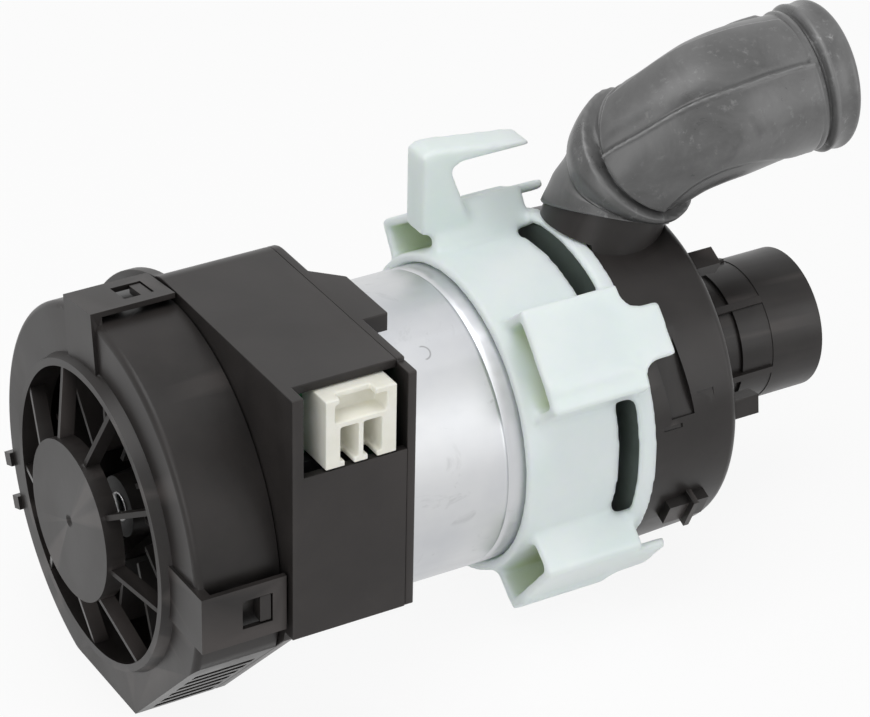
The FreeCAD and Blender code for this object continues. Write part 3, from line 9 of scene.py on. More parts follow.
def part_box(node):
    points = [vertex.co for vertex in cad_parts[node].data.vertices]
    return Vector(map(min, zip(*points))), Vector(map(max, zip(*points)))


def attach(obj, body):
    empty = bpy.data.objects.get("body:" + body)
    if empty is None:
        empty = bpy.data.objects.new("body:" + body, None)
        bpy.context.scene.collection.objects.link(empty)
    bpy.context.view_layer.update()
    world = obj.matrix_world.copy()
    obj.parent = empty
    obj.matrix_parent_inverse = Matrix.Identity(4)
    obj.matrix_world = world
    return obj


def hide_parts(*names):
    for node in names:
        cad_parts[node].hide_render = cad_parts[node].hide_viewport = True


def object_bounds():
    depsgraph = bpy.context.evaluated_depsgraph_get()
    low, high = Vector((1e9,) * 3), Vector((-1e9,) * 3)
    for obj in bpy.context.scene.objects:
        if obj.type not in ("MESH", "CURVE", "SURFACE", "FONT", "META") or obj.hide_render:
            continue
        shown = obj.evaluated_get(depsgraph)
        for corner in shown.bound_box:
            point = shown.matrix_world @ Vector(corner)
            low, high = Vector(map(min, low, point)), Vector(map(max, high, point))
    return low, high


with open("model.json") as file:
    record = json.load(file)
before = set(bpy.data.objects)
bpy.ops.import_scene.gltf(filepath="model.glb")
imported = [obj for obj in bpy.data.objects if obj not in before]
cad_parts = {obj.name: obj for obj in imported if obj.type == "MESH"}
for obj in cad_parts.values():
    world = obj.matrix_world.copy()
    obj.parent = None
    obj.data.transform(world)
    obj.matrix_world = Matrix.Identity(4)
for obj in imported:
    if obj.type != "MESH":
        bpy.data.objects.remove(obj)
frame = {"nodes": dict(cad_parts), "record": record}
cad_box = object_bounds()
NODES = frame["nodes"]

MM = 0.001
SCENE = bpy.context.scene

# The can's front edge, which the camera is set from, and the floor under the part, in metres.
CAN_LENGTH = 0.076
CAN_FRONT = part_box("motor_can")[0].x + CAN_LENGTH
FLOOR_LEVEL = cad_box[0][2]
FLOOR_HALF = 3.0

# How much of the floor's look is plain white to the camera, and how strong the world is on the part.
FLOOR_GLOW = 0.9
WORLD_ON_PART = 0.38

# Soft lamps: place and size in metres, and power in watts. All aim at one spot on the shaft.
SOFTBOXES = {
    "overhead_softbox": ((-0.35, -0.1, 1.1), (0.8, 0.8), 5.6),
    "left_softbox": ((-1.0, -0.7, 0.5), (0.6, 0.9), 3.2),
    "right_softbox": ((0.7, -0.8, 0.3), (0.5, 0.8), 2.6),
}
SOFTBOX_AIM = Vector((-0.1, 0, 0))

# The photograph's camera: where it looks from, its distance and offsets in metres, and its lens and
# sensor in millimetres.
AZIMUTH = math.radians(-30.93)
ELEVATION = math.radians(30.38)
ROLL = math.radians(1.18)
DISTANCE = 1.0
SLIDE = 0.0048
LIFT = 0.0135
LENS = 157.86
SENSOR = 36.0


def make_camera():
    """Camera at the photograph's angle, set from the front of the can."""
    level = math.cos(ELEVATION)
    forward = Vector((-math.sin(AZIMUTH) * level, math.cos(AZIMUTH) * level, -math.sin(ELEVATION)))
    right = Vector((math.cos(AZIMUTH), math.sin(AZIMUTH), 0))
    up = right.cross(forward)
    turned_right = right * math.cos(ROLL) + up * math.sin(ROLL)
    turned_up = up * math.cos(ROLL) - right * math.sin(ROLL)
    spot = Vector((CAN_FRONT, 0, 0)) - forward * DISTANCE - turned_right * SLIDE + turned_up * LIFT
    axes = Matrix((turned_right, turned_up, -forward)).transposed().to_4x4()
    data = bpy.data.cameras.new("photo_camera")
    data.lens = LENS
    data.sensor_width = SENSOR
    data.clip_start = 0.05
    data.clip_end = 20
    camera = bpy.data.objects.new("photo_camera", data)
    camera.matrix_world = Matrix.Translation(spot) @ axes
    SCENE.collection.objects.link(camera)
    SCENE.camera = camera


class Finish:
    """One procedural material and short names for the nodes that it uses."""

    def __init__(self, name):
        self.material = bpy.data.materials.new(name)
        self.material.use_nodes = True
        self.nodes = self.material.node_tree.nodes
        self.links = self.material.node_tree.links
        self.shader = self.nodes["Principled BSDF"]
        self.place = self.node("ShaderNodeTexCoord").outputs["Object"]

    def node(self, kind, **settings):
        item = self.nodes.new(kind)
        for key, value in settings.items():
            setattr(item, key, value)
        return item

    def feed(self, socket, value):
        if isinstance(value, bpy.types.NodeSocket):
            self.links.new(value, socket)
        else:
            socket.default_value = value

    def stretched(self, stretch):
        item = self.node("ShaderNodeMapping")
        self.links.new(self.place, item.inputs["Vector"])
        item.inputs["Scale"].default_value = stretch
        return item.outputs["Vector"]

    def noise(self, scale, detail=3.0, rough=0.55, stretch=(1, 1, 1), warp=0.0):
        item = self.node("ShaderNodeTexNoise")
        self.links.new(self.stretched(stretch), item.inputs["Vector"])
        item.inputs["Scale"].default_value = scale
        item.inputs["Detail"].default_value = detail
        item.inputs["Roughness"].default_value = rough
        item.inputs["Distortion"].default_value = warp
        return item.outputs["Fac"]

    def spread(self, value, low, high, to_low=0.0, to_high=1.0):
        item = self.node("ShaderNodeMapRange")
        self.feed(item.inputs["Value"], value)
        item.inputs["From Min"].default_value = low
        item.inputs["From Max"].default_value = high
        item.inputs["To Min"].default_value = to_low
        item.inputs["To Max"].default_value = to_high
        return item.outputs["Result"]

    def maths(self, operation, first, second=0.0):
        item = self.node("ShaderNodeMath", operation=operation)
        self.feed(item.inputs[0], first)
        self.feed(item.inputs[1], second)
        return item.outputs["Value"]

    def mix(self, share, first, second):
        item = self.node("ShaderNodeMix", data_type="RGBA")
        self.feed(item.inputs["Factor"], share)
        colours = [socket for socket in item.inputs if socket.type == "RGBA"]
        self.feed(colours[0], first)
        self.feed(colours[1], second)
        return next(socket for socket in item.outputs if socket.type == "RGBA")

    def edges(self, low, high):
        """How far the surface bulges from low to high; with low above high, how far it dips."""
        item = self.node("ShaderNodeNewGeometry")
        return self.spread(item.outputs["Pointiness"], low, high)

    def sheltered(self, reach, share, samples, only_local):
        """How deep in a pocket or behind a grille the surface lies, up to a share: a mask for painting
        shade and light into a colour.
        """
        item = self.node("ShaderNodeAmbientOcclusion", samples=samples, only_local=only_local)
        item.inputs["Distance"].default_value = reach
        return self.spread(item.outputs["AO"], 0.6, 0.2, 0, share)

    def along(self, axis):
        item = self.node("ShaderNodeSeparateXYZ")
        self.links.new(self.place, item.inputs["Vector"])
        return item.outputs[axis]

    def punch_mark(self, spot, radius):
        """Half a ring round a spot on the surface, open towards the fan."""
        item = self.node("ShaderNodeVectorMath", operation="DISTANCE")
        self.links.new(self.place, item.inputs[0])
        item.inputs[1].default_value = spot
        off = self.maths("ABSOLUTE", self.maths("SUBTRACT", item.outputs["Value"], radius))
        front = self.spread(self.along("X"), spot[0] - 0.0004, spot[0] + 0.0002)
        return self.maths("MULTIPLY", self.spread(off, 0.00012, 0.0003, 1, 0), front)

    def bumps(self, *layers):
        """Stack (height, strength, depth in metres) bumps on the shader's normal."""
        normal = None
        for height, strength, depth in layers:
            item = self.node("ShaderNodeBump")
            item.inputs["Strength"].default_value = strength
            item.inputs["Distance"].default_value = depth
            self.feed(item.inputs["Height"], height)
            if normal:
                self.links.new(normal, item.inputs["Normal"])
            normal = item.outputs["Normal"]
        self.links.new(normal, self.shader.inputs["Normal"])

    def set(self, **values):
        for name, value in values.items():
            self.feed(self.shader.inputs[name.replace("_", " ")], value)


def grey(level, red=1.0, green=1.0, blue=1.0):
    return (level * red, level * green, level * blue, 1)


def make_black_plastic(name, level, rough):
    """Glass-filled black moulding: fine grain, cloudy gloss, edges lightened by wear and painted
    highlight, dust, and painted shade in pockets and behind grilles.
    """
    look = Finish(name)
    cloud = look.noise(60, 5, 0.6)
    flow = look.noise(28, 3, 0.5, (1.0, 0.5, 0.5), 1.5)
    dust = look.spread(look.noise(1400, 2, 0.7), 0.72, 0.82, 0, 0.25)
    warm = (1.14, 1.0, 0.95)
    base = look.mix(look.spread(cloud, 0.35, 0.7), grey(level * 0.8, *warm), grey(level * 1.2, *warm))
    base = look.mix(dust, base, grey(0.14, 1.02))
    # Lighter convex edges: partly wear, partly painted highlight.
    wear_and_highlight = look.edges(0.53, 0.62)
    base = look.mix(look.maths("MULTIPLY", wear_and_highlight, 0.45), base, grey(level * 4.5, *warm))
    # Painted shade: darker deep in pockets and behind grilles.
    base = look.mix(look.sheltered(0.02, 0.85, 4, False), base, grey(level * 0.2))
    shine = look.maths("ADD", look.spread(flow, 0.3, 0.75, rough - 0.06, rough + 0.08),
                       look.spread(cloud, 0.3, 0.7, -0.03, 0.03))
    look.set(Base_Color=base, Roughness=shine)
    look.shader.inputs["Specular IOR Level"].default_value = 0.3
    look.bumps((look.noise(3200, 2, 0.5), 0.12, 0.00006), (look.noise(420, 3, 0.5), 0.06, 0.0002))
    return look.material


# Where the can carries the half ring of a punch, on the near side below the top, and its radius.
PUNCH_SPOT = (-0.1263, -0.0208, 0.0341)
PUNCH_RADIUS = 0.0019


def make_can_steel():
    """Bright drawn steel with rolling marks, faint smudges, a few scuffs and a punch mark."""
    look = Finish("can_steel")
    cloud = look.noise(30, 4, 0.55)
    rolled = look.noise(300, 3, 0.6, (0.12, 1, 1))
    smudge = look.spread(look.noise(70, 4, 0.6, (1, 1, 1), 2.0), 0.6, 0.72)
    spots = look.spread(look.noise(260, 2, 0.6), 0.74, 0.8)
    base = look.mix(look.spread(cloud, 0.35, 0.7), grey(0.57, 0.97, 0.99, 1.03), grey(0.65, 0.99, 1, 1.01))
    base = look.mix(look.maths("MULTIPLY", smudge, 0.35), base, grey(0.42, 0.98, 1, 1.02))
    base = look.mix(look.maths("MULTIPLY", spots, 0.3), base, grey(0.25))
    punch = look.punch_mark(PUNCH_SPOT, PUNCH_RADIUS)
    base = look.mix(look.maths("MULTIPLY", punch, 0.6), base, grey(0.2))
    shine = look.maths("ADD", look.spread(rolled, 0.3, 0.7, 0.36, 0.44),
                       look.maths("MULTIPLY", smudge, 0.10))
    look.set(Base_Color=base, Roughness=shine)
    look.shader.inputs["Metallic"].default_value = 1.0
    look.bumps((rolled, 0.05, 0.0001), (look.noise(900, 2, 0.6, (0.3, 1, 1)), 0.04, 0.00005))
    return look.material


# Painted yellow-green shade and glow in the bracket's pockets, standing for the light that comes through
# its walls.
POCKET_PAINTED_LIGHT = (0.62, 0.71, 0.40, 1)


def make_bracket_plastic():
    """Milky, slightly see-through white moulding with a cool mint tint and painted yellow-green light and
    shade in its pockets.
    """
    look = Finish("bracket_plastic")
    cloud = look.noise(45, 4, 0.55)
    base = look.mix(look.spread(cloud, 0.35, 0.7), (0.77, 0.86, 0.845, 1), (0.83, 0.90, 0.885, 1))
    # Painted light and shade: yellow-green deep in pockets.
    base = look.mix(look.sheltered(0.012, 0.9, 8, True), base, POCKET_PAINTED_LIGHT)
    specks = look.spread(look.noise(900, 2, 0.7), 0.76, 0.82, 0, 0.12)
    base = look.mix(specks, base, (0.45, 0.5, 0.42, 1))
    look.set(Base_Color=base, Roughness=look.spread(look.noise(90, 3), 0.3, 0.7, 0.34, 0.44))
    shader = look.shader.inputs
    shader["Subsurface Weight"].default_value = 0.55
    shader["Subsurface Radius"].default_value = (0.9, 1.0, 0.75)
    shader["Subsurface Scale"].default_value = 0.004
    look.bumps((look.noise(700, 2, 0.5), 0.05, 0.0001), (look.noise(60, 2, 0.5), 0.08, 0.0004))
    return look.material


def make_ivory_plastic(name, low, high, rough):
    """Pale socket moulding, slightly see-through, with edges lightened by wear and painted highlight."""
    look = Finish(name)
    cloud = look.noise(120, 4, 0.6)
    base = look.mix(look.spread(cloud, 0.35, 0.7), low, high)
    # Lighter convex edges: partly wear, partly painted highlight.
    wear_and_highlight = look.maths("MULTIPLY", look.edges(0.53, 0.63), 0.4)
    base = look.mix(wear_and_highlight, base, (0.93, 0.92, 0.86, 1))
    look.set(Base_Color=base, Roughness=look.spread(look.noise(200, 3), 0.3, 0.7, rough - 0.05,
                                                    rough + 0.05))
    shader = look.shader.inputs
    shader["Subsurface Weight"].default_value = 0.2
    shader["Subsurface Radius"].default_value = (1.0, 0.9, 0.7)
    shader["Subsurface Scale"].default_value = 0.0015
    look.bumps((look.noise(1500, 2, 0.5), 0.08, 0.00006))
    return look.material


# Between which heights the elbow's foot gets lighter, and between which places along X its cuff
# gets its talc, in metres.
DARK_FOOT = (0.051, 0.061)
CUFF_REACH = (-0.006, 0.001)


def make_rubber(name, level, chalky):
    """Moulded rubber: cloudy bloom, painted shade in its creases, a dark foot, painted highlights on edges
    and crests, talc mostly on the cuff.
    """
    look = Finish(name)
    cloud = look.noise(55, 5, 0.62, (1, 1, 1), 0.6)
    fine = look.noise(520, 4, 0.7)
    base = look.mix(look.spread(cloud, 0.35, 0.68), grey(level * 0.72), grey(level * 1.25))
    dark = look.spread(look.noise(38, 3, 0.6, (1, 1, 1), 1.5), 0.6, 0.74)
    base = look.mix(look.maths("MULTIPLY", dark, 0.5), base, grey(level * 0.45))
    # Painted shade: darker in concave creases and grooves.
    painted_crease_shade = look.edges(0.495, 0.44)
    base = look.mix(look.maths("MULTIPLY", painted_crease_shade, 0.75), base, grey(level * 0.22))
    # Painted highlight: lighter on convex edges and bead crests.
    painted_edge_highlight = look.edges(0.515, 0.58)
    base = look.mix(look.maths("MULTIPLY", painted_edge_highlight, 0.55), base, grey(level * 3.4))
    foot = look.spread(look.along("Z"), *DARK_FOOT, 0.8, 0)
    base = look.mix(foot, base, grey(level * 0.25))
    patches = look.spread(look.noise(75, 3, 0.6, (1, 1, 1), 1.0), 0.5, 0.72, 0.05, 0.8)
    on_cuff = look.spread(look.along("X"), *CUFF_REACH, 0.35, 1.0)
    talc = look.maths("MULTIPLY", look.maths("MULTIPLY", patches, on_cuff), look.spread(fine, 0.54, 0.68))
    base = look.mix(look.maths("MULTIPLY", talc, chalky), base, grey(0.62))
    shine = look.maths("ADD", look.spread(cloud, 0.3, 0.7, 0.25, 0.42), look.maths("MULTIPLY", talc, 0.3))
    look.set(Base_Color=base, Roughness=shine)
    look.bumps((fine, 0.12, 0.0001), (look.noise(60, 3, 0.6), 0.25, 0.0008))
    return look.material


def make_metal(name, colour, rough, brushed=(1, 1, 1), streak=400, darker=0.8):
    """Bare or plated metal with fine brush lines and a clouded tone."""
    look = Finish(name)
    lines = look.noise(streak, 4, 0.6, brushed)
    cloud = look.noise(80, 3, 0.5)
    dull = tuple(part * darker for part in colour[:3]) + (1,)
    base = look.mix(look.spread(cloud, 0.3, 0.7), dull, colour)
    look.set(Base_Color=base, Roughness=look.spread(lines, 0.3, 0.7, rough - 0.06, rough + 0.08))
    look.shader.inputs["Metallic"].default_value = 1.0
    look.bumps((lines, 0.08, 0.00005))
    return look.material


def make_matt(name, colour, rough, grain=900, spread=0.15):
    """Plain moulded, sintered or painted part with a clouded colour and a fine grain."""
    look = Finish(name)
    cloud = look.noise(90, 4, 0.6)
    low = tuple(part * (1 - spread) for part in colour[:3]) + (1,)
    high = tuple(min(1, part * (1 + spread)) for part in colour[:3]) + (1,)
    base = look.mix(look.spread(cloud, 0.35, 0.7), low, high)
    look.set(Base_Color=base, Roughness=look.spread(look.noise(300, 3), 0.3, 0.7, rough - 0.05,
                                                    rough + 0.06))
    look.bumps((look.noise(grain, 3, 0.6), 0.1, 0.0001))
    return look.material


def make_winding():
    """Enamelled copper wire: fine turns round the slots."""
    look = Finish("copper_wire")
    wave = look.node("ShaderNodeTexWave", wave_type="RINGS", rings_direction="X")
    look.links.new(look.place, wave.inputs["Vector"])
    wave.inputs["Scale"].default_value = 420
    wave.inputs["Distortion"].default_value = 1.2
    turns = wave.outputs["Fac"]
    base = look.mix(turns, (0.25, 0.09, 0.035, 1), (0.74, 0.36, 0.17, 1))
    look.set(Base_Color=base, Roughness=look.spread(look.noise(300), 0.3, 0.7, 0.25, 0.4))
    look.shader.inputs["Metallic"].default_value = 0.85
    look.bumps((turns, 0.5, 0.0003))
    return look.material


FINISHES = {
    "can_steel": make_can_steel(),
    "black_plastic": make_black_plastic("black_plastic", 0.019, 0.36),
    "bracket_plastic": make_bracket_plastic(),
    "header_plastic": make_ivory_plastic("header_plastic", (0.84, 0.83, 0.74, 1),
                                         (0.91, 0.90, 0.83, 1), 0.42),
    "rubber_grey": make_rubber("rubber_grey", 0.115, 0.9),
    "seal_rubber": make_rubber("seal_rubber", 0.03, 0.1),
    "bearing_steel": make_metal("bearing_steel", grey(0.78), 0.16, (0.1, 1, 1)),
    "shaft_steel": make_metal("shaft_steel", grey(0.66), 0.28, (4, 0.2, 0.2), 600),
    "lamination_steel": make_metal("lamination_steel", grey(0.36, 1, 1.02, 1.06), 0.42,
                                   (12, 0.2, 0.2), 250, 0.5),
    "copper_wire": make_winding(),
    "insulator_plastic": make_matt("insulator_plastic", (0.74, 0.70, 0.60, 1), 0.5),
    "magnet_ceramic": make_matt("magnet_ceramic", (0.045, 0.045, 0.05, 1), 0.55),
    "board_laminate": make_matt("board_laminate", (0.03, 0.16, 0.07, 1), 0.35, 500, 0.3),
    "component_black": make_matt("component_black", (0.025, 0.025, 0.028, 1), 0.4),
    "capacitor_shell": make_metal("capacitor_shell", grey(0.66), 0.3, (8, 1, 1)),
    "pin_metal": make_metal("pin_metal", (0.78, 0.74, 0.62, 1), 0.25),
    # The impellers are darker than the black moulding: painted shade behind the grille and inside the
    # casing.
    "impeller_plastic": make_matt("impeller_plastic", (0.009, 0.0085, 0.008, 1), 0.6),
    "seat_ceramic": make_matt("seat_ceramic", (0.78, 0.77, 0.72, 1), 0.25, 1500, 0.05),
    "face_carbon": make_matt("face_carbon", (0.03, 0.03, 0.03, 1), 0.35),
    "zinc_steel": make_metal("zinc_steel", (0.68, 0.68, 0.62, 1), 0.34),
}


# The back plate is seen through the bracket's windows: its black is painted a lighter green-grey, as
# painted light that stands for what comes through the milky plastic.
NODE_FINISHES = {"pump_back_plate": make_matt("back_plate_painted_light", (0.13, 0.16, 0.145, 1), 0.55)}

SMOOTH_ANGLE = math.radians(32)
# Corners closer than this are one, in metres.
WELD_GAP = 0.000005
# Widths of the rounded edges on the CAD nodes, in millimetres.
ROUNDED = {
    "fan_cover": 0.35, "motor_housing": 0.45, "electronics_lid": 0.45,
    "pump_casing": 0.4, "pump_back_plate": 0.3, "motor_can": 0.15,
    "header_pins": 0.15, "control_board": 0.1, "power_module": 0.3,
    "bracket_screws": 0.25, "fan_impeller": 0.2, "pump_impeller": 0.2, "impeller_nut": 0.3,
}

# Nodes with soft moulded edges: grid size in millimetres and rounds of smoothing.
SOFTENED = {"mounting_bracket": (0.85, 11)}


def soften(node, grid, rounds):
    """Melt a node's sharp edges, as a soft moulding has them."""
    remesh = node.modifiers.new("even_grid", "REMESH")
    remesh.mode = "VOXEL"
    remesh.voxel_size = grid * MM
    remesh.use_smooth_shade = True
    smooth = node.modifiers.new("soft_edges", "SMOOTH")
    smooth.factor = 0.5
    smooth.iterations = rounds


def dress_cad_nodes():
    """Give each CAD node its finish, smooth shading between sharp edges and rounded corners."""
    slots = {part["node"]: part["material_slot"] for part in frame["record"]["subparts"]}
    for name, node in NODES.items():
        node.data.materials.clear()
        node.data.materials.append(NODE_FINISHES.get(name) or FINISHES[slots[name]])
        weld = node.modifiers.new("joined", "WELD")
        weld.merge_threshold = WELD_GAP
        if name in ROUNDED:
            bevel = node.modifiers.new("rounded", "BEVEL")
            bevel.width = ROUNDED[name] * MM
            bevel.segments = 2
            bevel.limit_method = "ANGLE"
            bevel.angle_limit = SMOOTH_ANGLE
            bevel.use_clamp_overlap = True
            flat = node.modifiers.new("flat_faces", "WEIGHTED_NORMAL")
            flat.keep_sharp = True
            flat.weight = 100
        node.data.shade_smooth()
        if name in SOFTENED:
            soften(node, *SOFTENED[name])
        else:
            node.data.set_sharp_from_angle(angle=SMOOTH_ANGLE)


# The visible power socket's share of the CAD socket's width, and its grid size in millimetres and
# rounds of smoothing.
HEADER_SHARE = 0.8
HEADER_SOFTNESS = (0.3, 4)

# The elbow below is in millimetres and degrees.
# Its path from the casing's collar to its mouth: radius, first lean and last lean of each bend, then
# a straight stretch.
ELBOW_SEAT = Vector((-57.95, 0, 51.7))
ELBOW_BENDS = ((22.0, 22.0, 70.0), (129.3, 70.0, 89.0))
ELBOW_BEND_LENGTHS = [bend * math.radians(last - first) for bend, first, last in ELBOW_BENDS]
ELBOW_STRAIGHT = 10.6
ELBOW_LENGTH = sum(ELBOW_BEND_LENGTHS) + ELBOW_STRAIGHT
CUFF_LENGTH = 7.6
CUFF_START = ELBOW_LENGTH - CUFF_LENGTH
# How far the path sways towards the near side halfway, and along which line.
SWAY = 6.5
SWAY_LINE = Vector((-0.443, -0.740, 0.506))
# Directions that the elbow's sections face, and the tube's radius, by distance along the path.
FACINGS = ((0, (0.375, 0, 0.927)), (5, (0.355, -0.296, 0.886)), (16, (0.478, -0.544, 0.691)),
           (40, (0.84, -0.28, 0.40)), (ELBOW_LENGTH, (0.996, -0.05, 0.05)))
TUBE_RADII = ((0, 16.2), (3.5, 15.2), (8, 16.6), (13, 17.2), (18, 17.6), (24, 17.7), (31, 18.4),
              (38, 19.1), (50, 19.1), (58, 18.6), (ELBOW_LENGTH, 18.5))
# Angles round the tube, by distance along the path: the raised panel's top and bottom edges and the
# parting ridge between them. Zero is the outside of the bend, and the near side is positive.
PANEL_TOP = ((12, -22), (26, -24), (35, -20), (46, -12), (ELBOW_LENGTH, 4))
PANEL_BOTTOM = ((12, 104), (28, 100), (40, 110), (56, 140), (ELBOW_LENGTH, 150))
PARTING = ((12, 21), (23, 32), (33, 38), (45, 45), (ELBOW_LENGTH, 50))
# Rings round the foot lean over: middle and swing along the path, lowest on the near side.
LEAN_ANGLE = 65.0
BEAD_FOOT = (6.3, 5.9)
BEAD_CREST = (13.4, 2.5)
PANEL_START = (18.0, 6.0)
PANEL_END = (60.0, -2.0)
# Heights of the foot's bead at its start and what it gains towards its crest, and depths of the
# grooves beyond the crest and before the panels.
BEAD_RISE = 0.9
BEAD_GAIN = 1.1
CREST_GROOVE = 1.2
PANEL_GROOVE = 0.9
# Heights of the panels and of their parting ridge, and the hollow above the ridge: depth and fade.
PANEL_RISE = 1.0
RIDGE_RISE = 0.8
HOLLOW_DEPTH = 1.3
HOLLOW_FADE = 3.2
# The bead and the groove before the cuff, and the rolled cuff's height and its wave.
CUFF_BEAD = 0.75
CUFF_GROOVE = 0.9
CUFF_RISE = 1.75
CUFF_WAVE = 0.25
ELBOW_WALL = 2.6
# The mouth: bore radius, length and steps of its rounded rim, and where the even bore starts and ends
# below the rim's end.
MOUTH_BORE = 17.2
RIM_LENGTH = 1.5
RIM_STEPS = 12
BORE_START = 1.6
BORE_END = 9
# The casing's pipe inside the foot and its collar under it, with running clearance, the cavity's end
# above the pipe and the seat's height over the collar.
PIPE_RADIUS = 13.3
PIPE_REACH = 6.6
COLLAR_RADIUS = 16.0
CAVITY_END = 0.6
SEAT_LIFT = 0.1
# The foot's skirt: its wall, and shares of the way up with the share of the wall that it has there.
SKIRT_WALL = 0.8
SKIRT_SHAPE = ((0, 0.45), (0.05, 1.0), (0.2, 0.9), (0.6, 0.5), (0.95, 0.3))
SKIRT_INSIDE = (0.6, 0.05)
# Lower edge of the foot's skirt: middle and swing along the path, and where it is highest.
SKIRT_EDGE = (-4.6, 4.5)
SKIRT_HIGH_ANGLE = 100.0
# Corners round each section, and steps between sections: outside, on its plain stretch, and inside.
ROUND_STEPS = 240
FINE_STEP = 0.42
PLAIN_STEP = 0.9
PLAIN_STRETCH = (21, 55)
INSIDE_STEP = 1.5


def curve_value(knots, place):
    """Smooth value between (place, value) knots; a value may be a number or a vector."""
    if place <= knots[0][0]:
        return knots[0][1]
    for index in range(len(knots) - 1):
        (start, first), (end, last) = knots[index], knots[index + 1]
        if place <= end:
            before = knots[max(index - 1, 0)]
            after = knots[min(index + 2, len(knots) - 1)]
            slope_in = (last - before[1]) / (end - before[0])
            slope_out = (after[1] - first) / (after[0] - start)
            width = end - start
            t = (place - start) / width
            return ((2 * t ** 3 - 3 * t ** 2 + 1) * first + (t ** 3 - 2 * t ** 2 + t) * width * slope_in
                    + (3 * t ** 2 - 2 * t ** 3) * last + (t ** 3 - t ** 2) * width * slope_out)
    return knots[-1][1]


def ease(distance, width):
    """Rise from 0 to 1 over a width round zero."""
    t = min(max(distance / width + 0.5, 0), 1)
    return t * t * (3 - 2 * t)


def hump(distance, width):
    """A bell of height 1 round zero."""
    return math.exp(-(distance / width) ** 2)


def elbow_centre(distance):
    """Point on the elbow's path; a distance below zero runs back through the casing's collar."""
    place = ELBOW_SEAT.copy()
    lean = ELBOW_BENDS[0][1]
    if distance < 0:
        return place + distance * Vector((math.sin(math.radians(lean)), 0, math.cos(math.radians(lean))))
    left = distance
    for (bend, first, last), length in zip(ELBOW_BENDS, ELBOW_BEND_LENGTHS):
        step = min(left, length)
        lean = first + math.degrees(step / bend)
        place.x += bend * (math.cos(math.radians(first)) - math.cos(math.radians(lean)))
        place.z += bend * (math.sin(math.radians(lean)) - math.sin(math.radians(first)))
        left -= step
        if left <= 0:
            break
    place += left * Vector((math.sin(math.radians(lean)), 0, math.cos(math.radians(lean))))
    return place + SWAY_LINE * SWAY * math.sin(math.pi * distance / ELBOW_LENGTH) ** 2


def ring_place(ring, angle):
    """Where a leaning ring crosses an angle round the tube."""
    middle, swing = ring
    return middle - swing * math.cos(math.radians(angle - LEAN_ANGLE))


def panel_height(distance, angle, radius):
    """Raised panel on each side of the tube, with a parting ridge and a hollow above it."""
    height = 0.0
    along = (ease(distance - ring_place(PANEL_START, angle), 1.1)
             * (1 - ease(distance - ring_place(PANEL_END, angle), 1.4)))
    if not along:
        return 0.0
    for turn in (0, 180):
        here = (angle - turn + 180) % 360 - 180
        top = math.radians(here - curve_value(PANEL_TOP, distance)) * radius
        bottom = math.radians(here - curve_value(PANEL_BOTTOM, distance)) * radius
        ridge = math.radians(here - curve_value(PARTING, distance)) * radius
        across = ease(top, 1.2) * (1 - ease(bottom, 2.4))
        rise = PANEL_RISE + RIDGE_RISE * hump(ridge, 0.5)
        if ridge < 0:
            rise -= HOLLOW_DEPTH * math.exp(ridge / HOLLOW_FADE) * ease(-ridge, 1.0)
        height += across * rise
    return along * height


def elbow_radius(distance, angle):
    """Outside radius of the elbow at a distance along its path and an angle round it."""
    radius = curve_value(TUBE_RADII, distance)
    foot = distance - ring_place(BEAD_FOOT, angle)
    crest = distance - ring_place(BEAD_CREST, angle)
    swell = BEAD_RISE + BEAD_GAIN * ease(foot - 2.5, 6)
    radius += (swell * ease(foot, 1.4) * (1 - ease(crest, 0.9))
               - CREST_GROOVE * hump(crest - 1.2, 0.75))
    radius -= PANEL_GROOVE * hump(distance - ring_place(PANEL_START, angle) + 0.9, 0.7)
    radius += panel_height(distance, angle, radius)
    cuff = distance - CUFF_START
    radius += (CUFF_BEAD * ease(cuff + 2.6, 0.8) * (1 - ease(cuff + 0.9, 0.8))
               - CUFF_GROOVE * hump(cuff + 0.35, 0.5))
    rolled = CUFF_RISE + CUFF_WAVE * math.cos(2 * math.pi * cuff / CUFF_LENGTH)
    return radius + rolled * ease(cuff - 0.6, 1.6)


def even_section(distance, radius):
    """Round section square to the path."""
    return [(distance, radius)] * ROUND_STEPS


def skirt_section(share, radius):
    """Section of the foot's skirt, from its leaning lower edge (0) up to the seat (1)."""
    middle, swing = SKIRT_EDGE
    section = []
    for index in range(ROUND_STEPS):
        angle = math.radians(360 * index / ROUND_STEPS - SKIRT_HIGH_ANGLE)
        section.append(((middle + swing * math.cos(angle)) * (1 - share), radius))
    return section


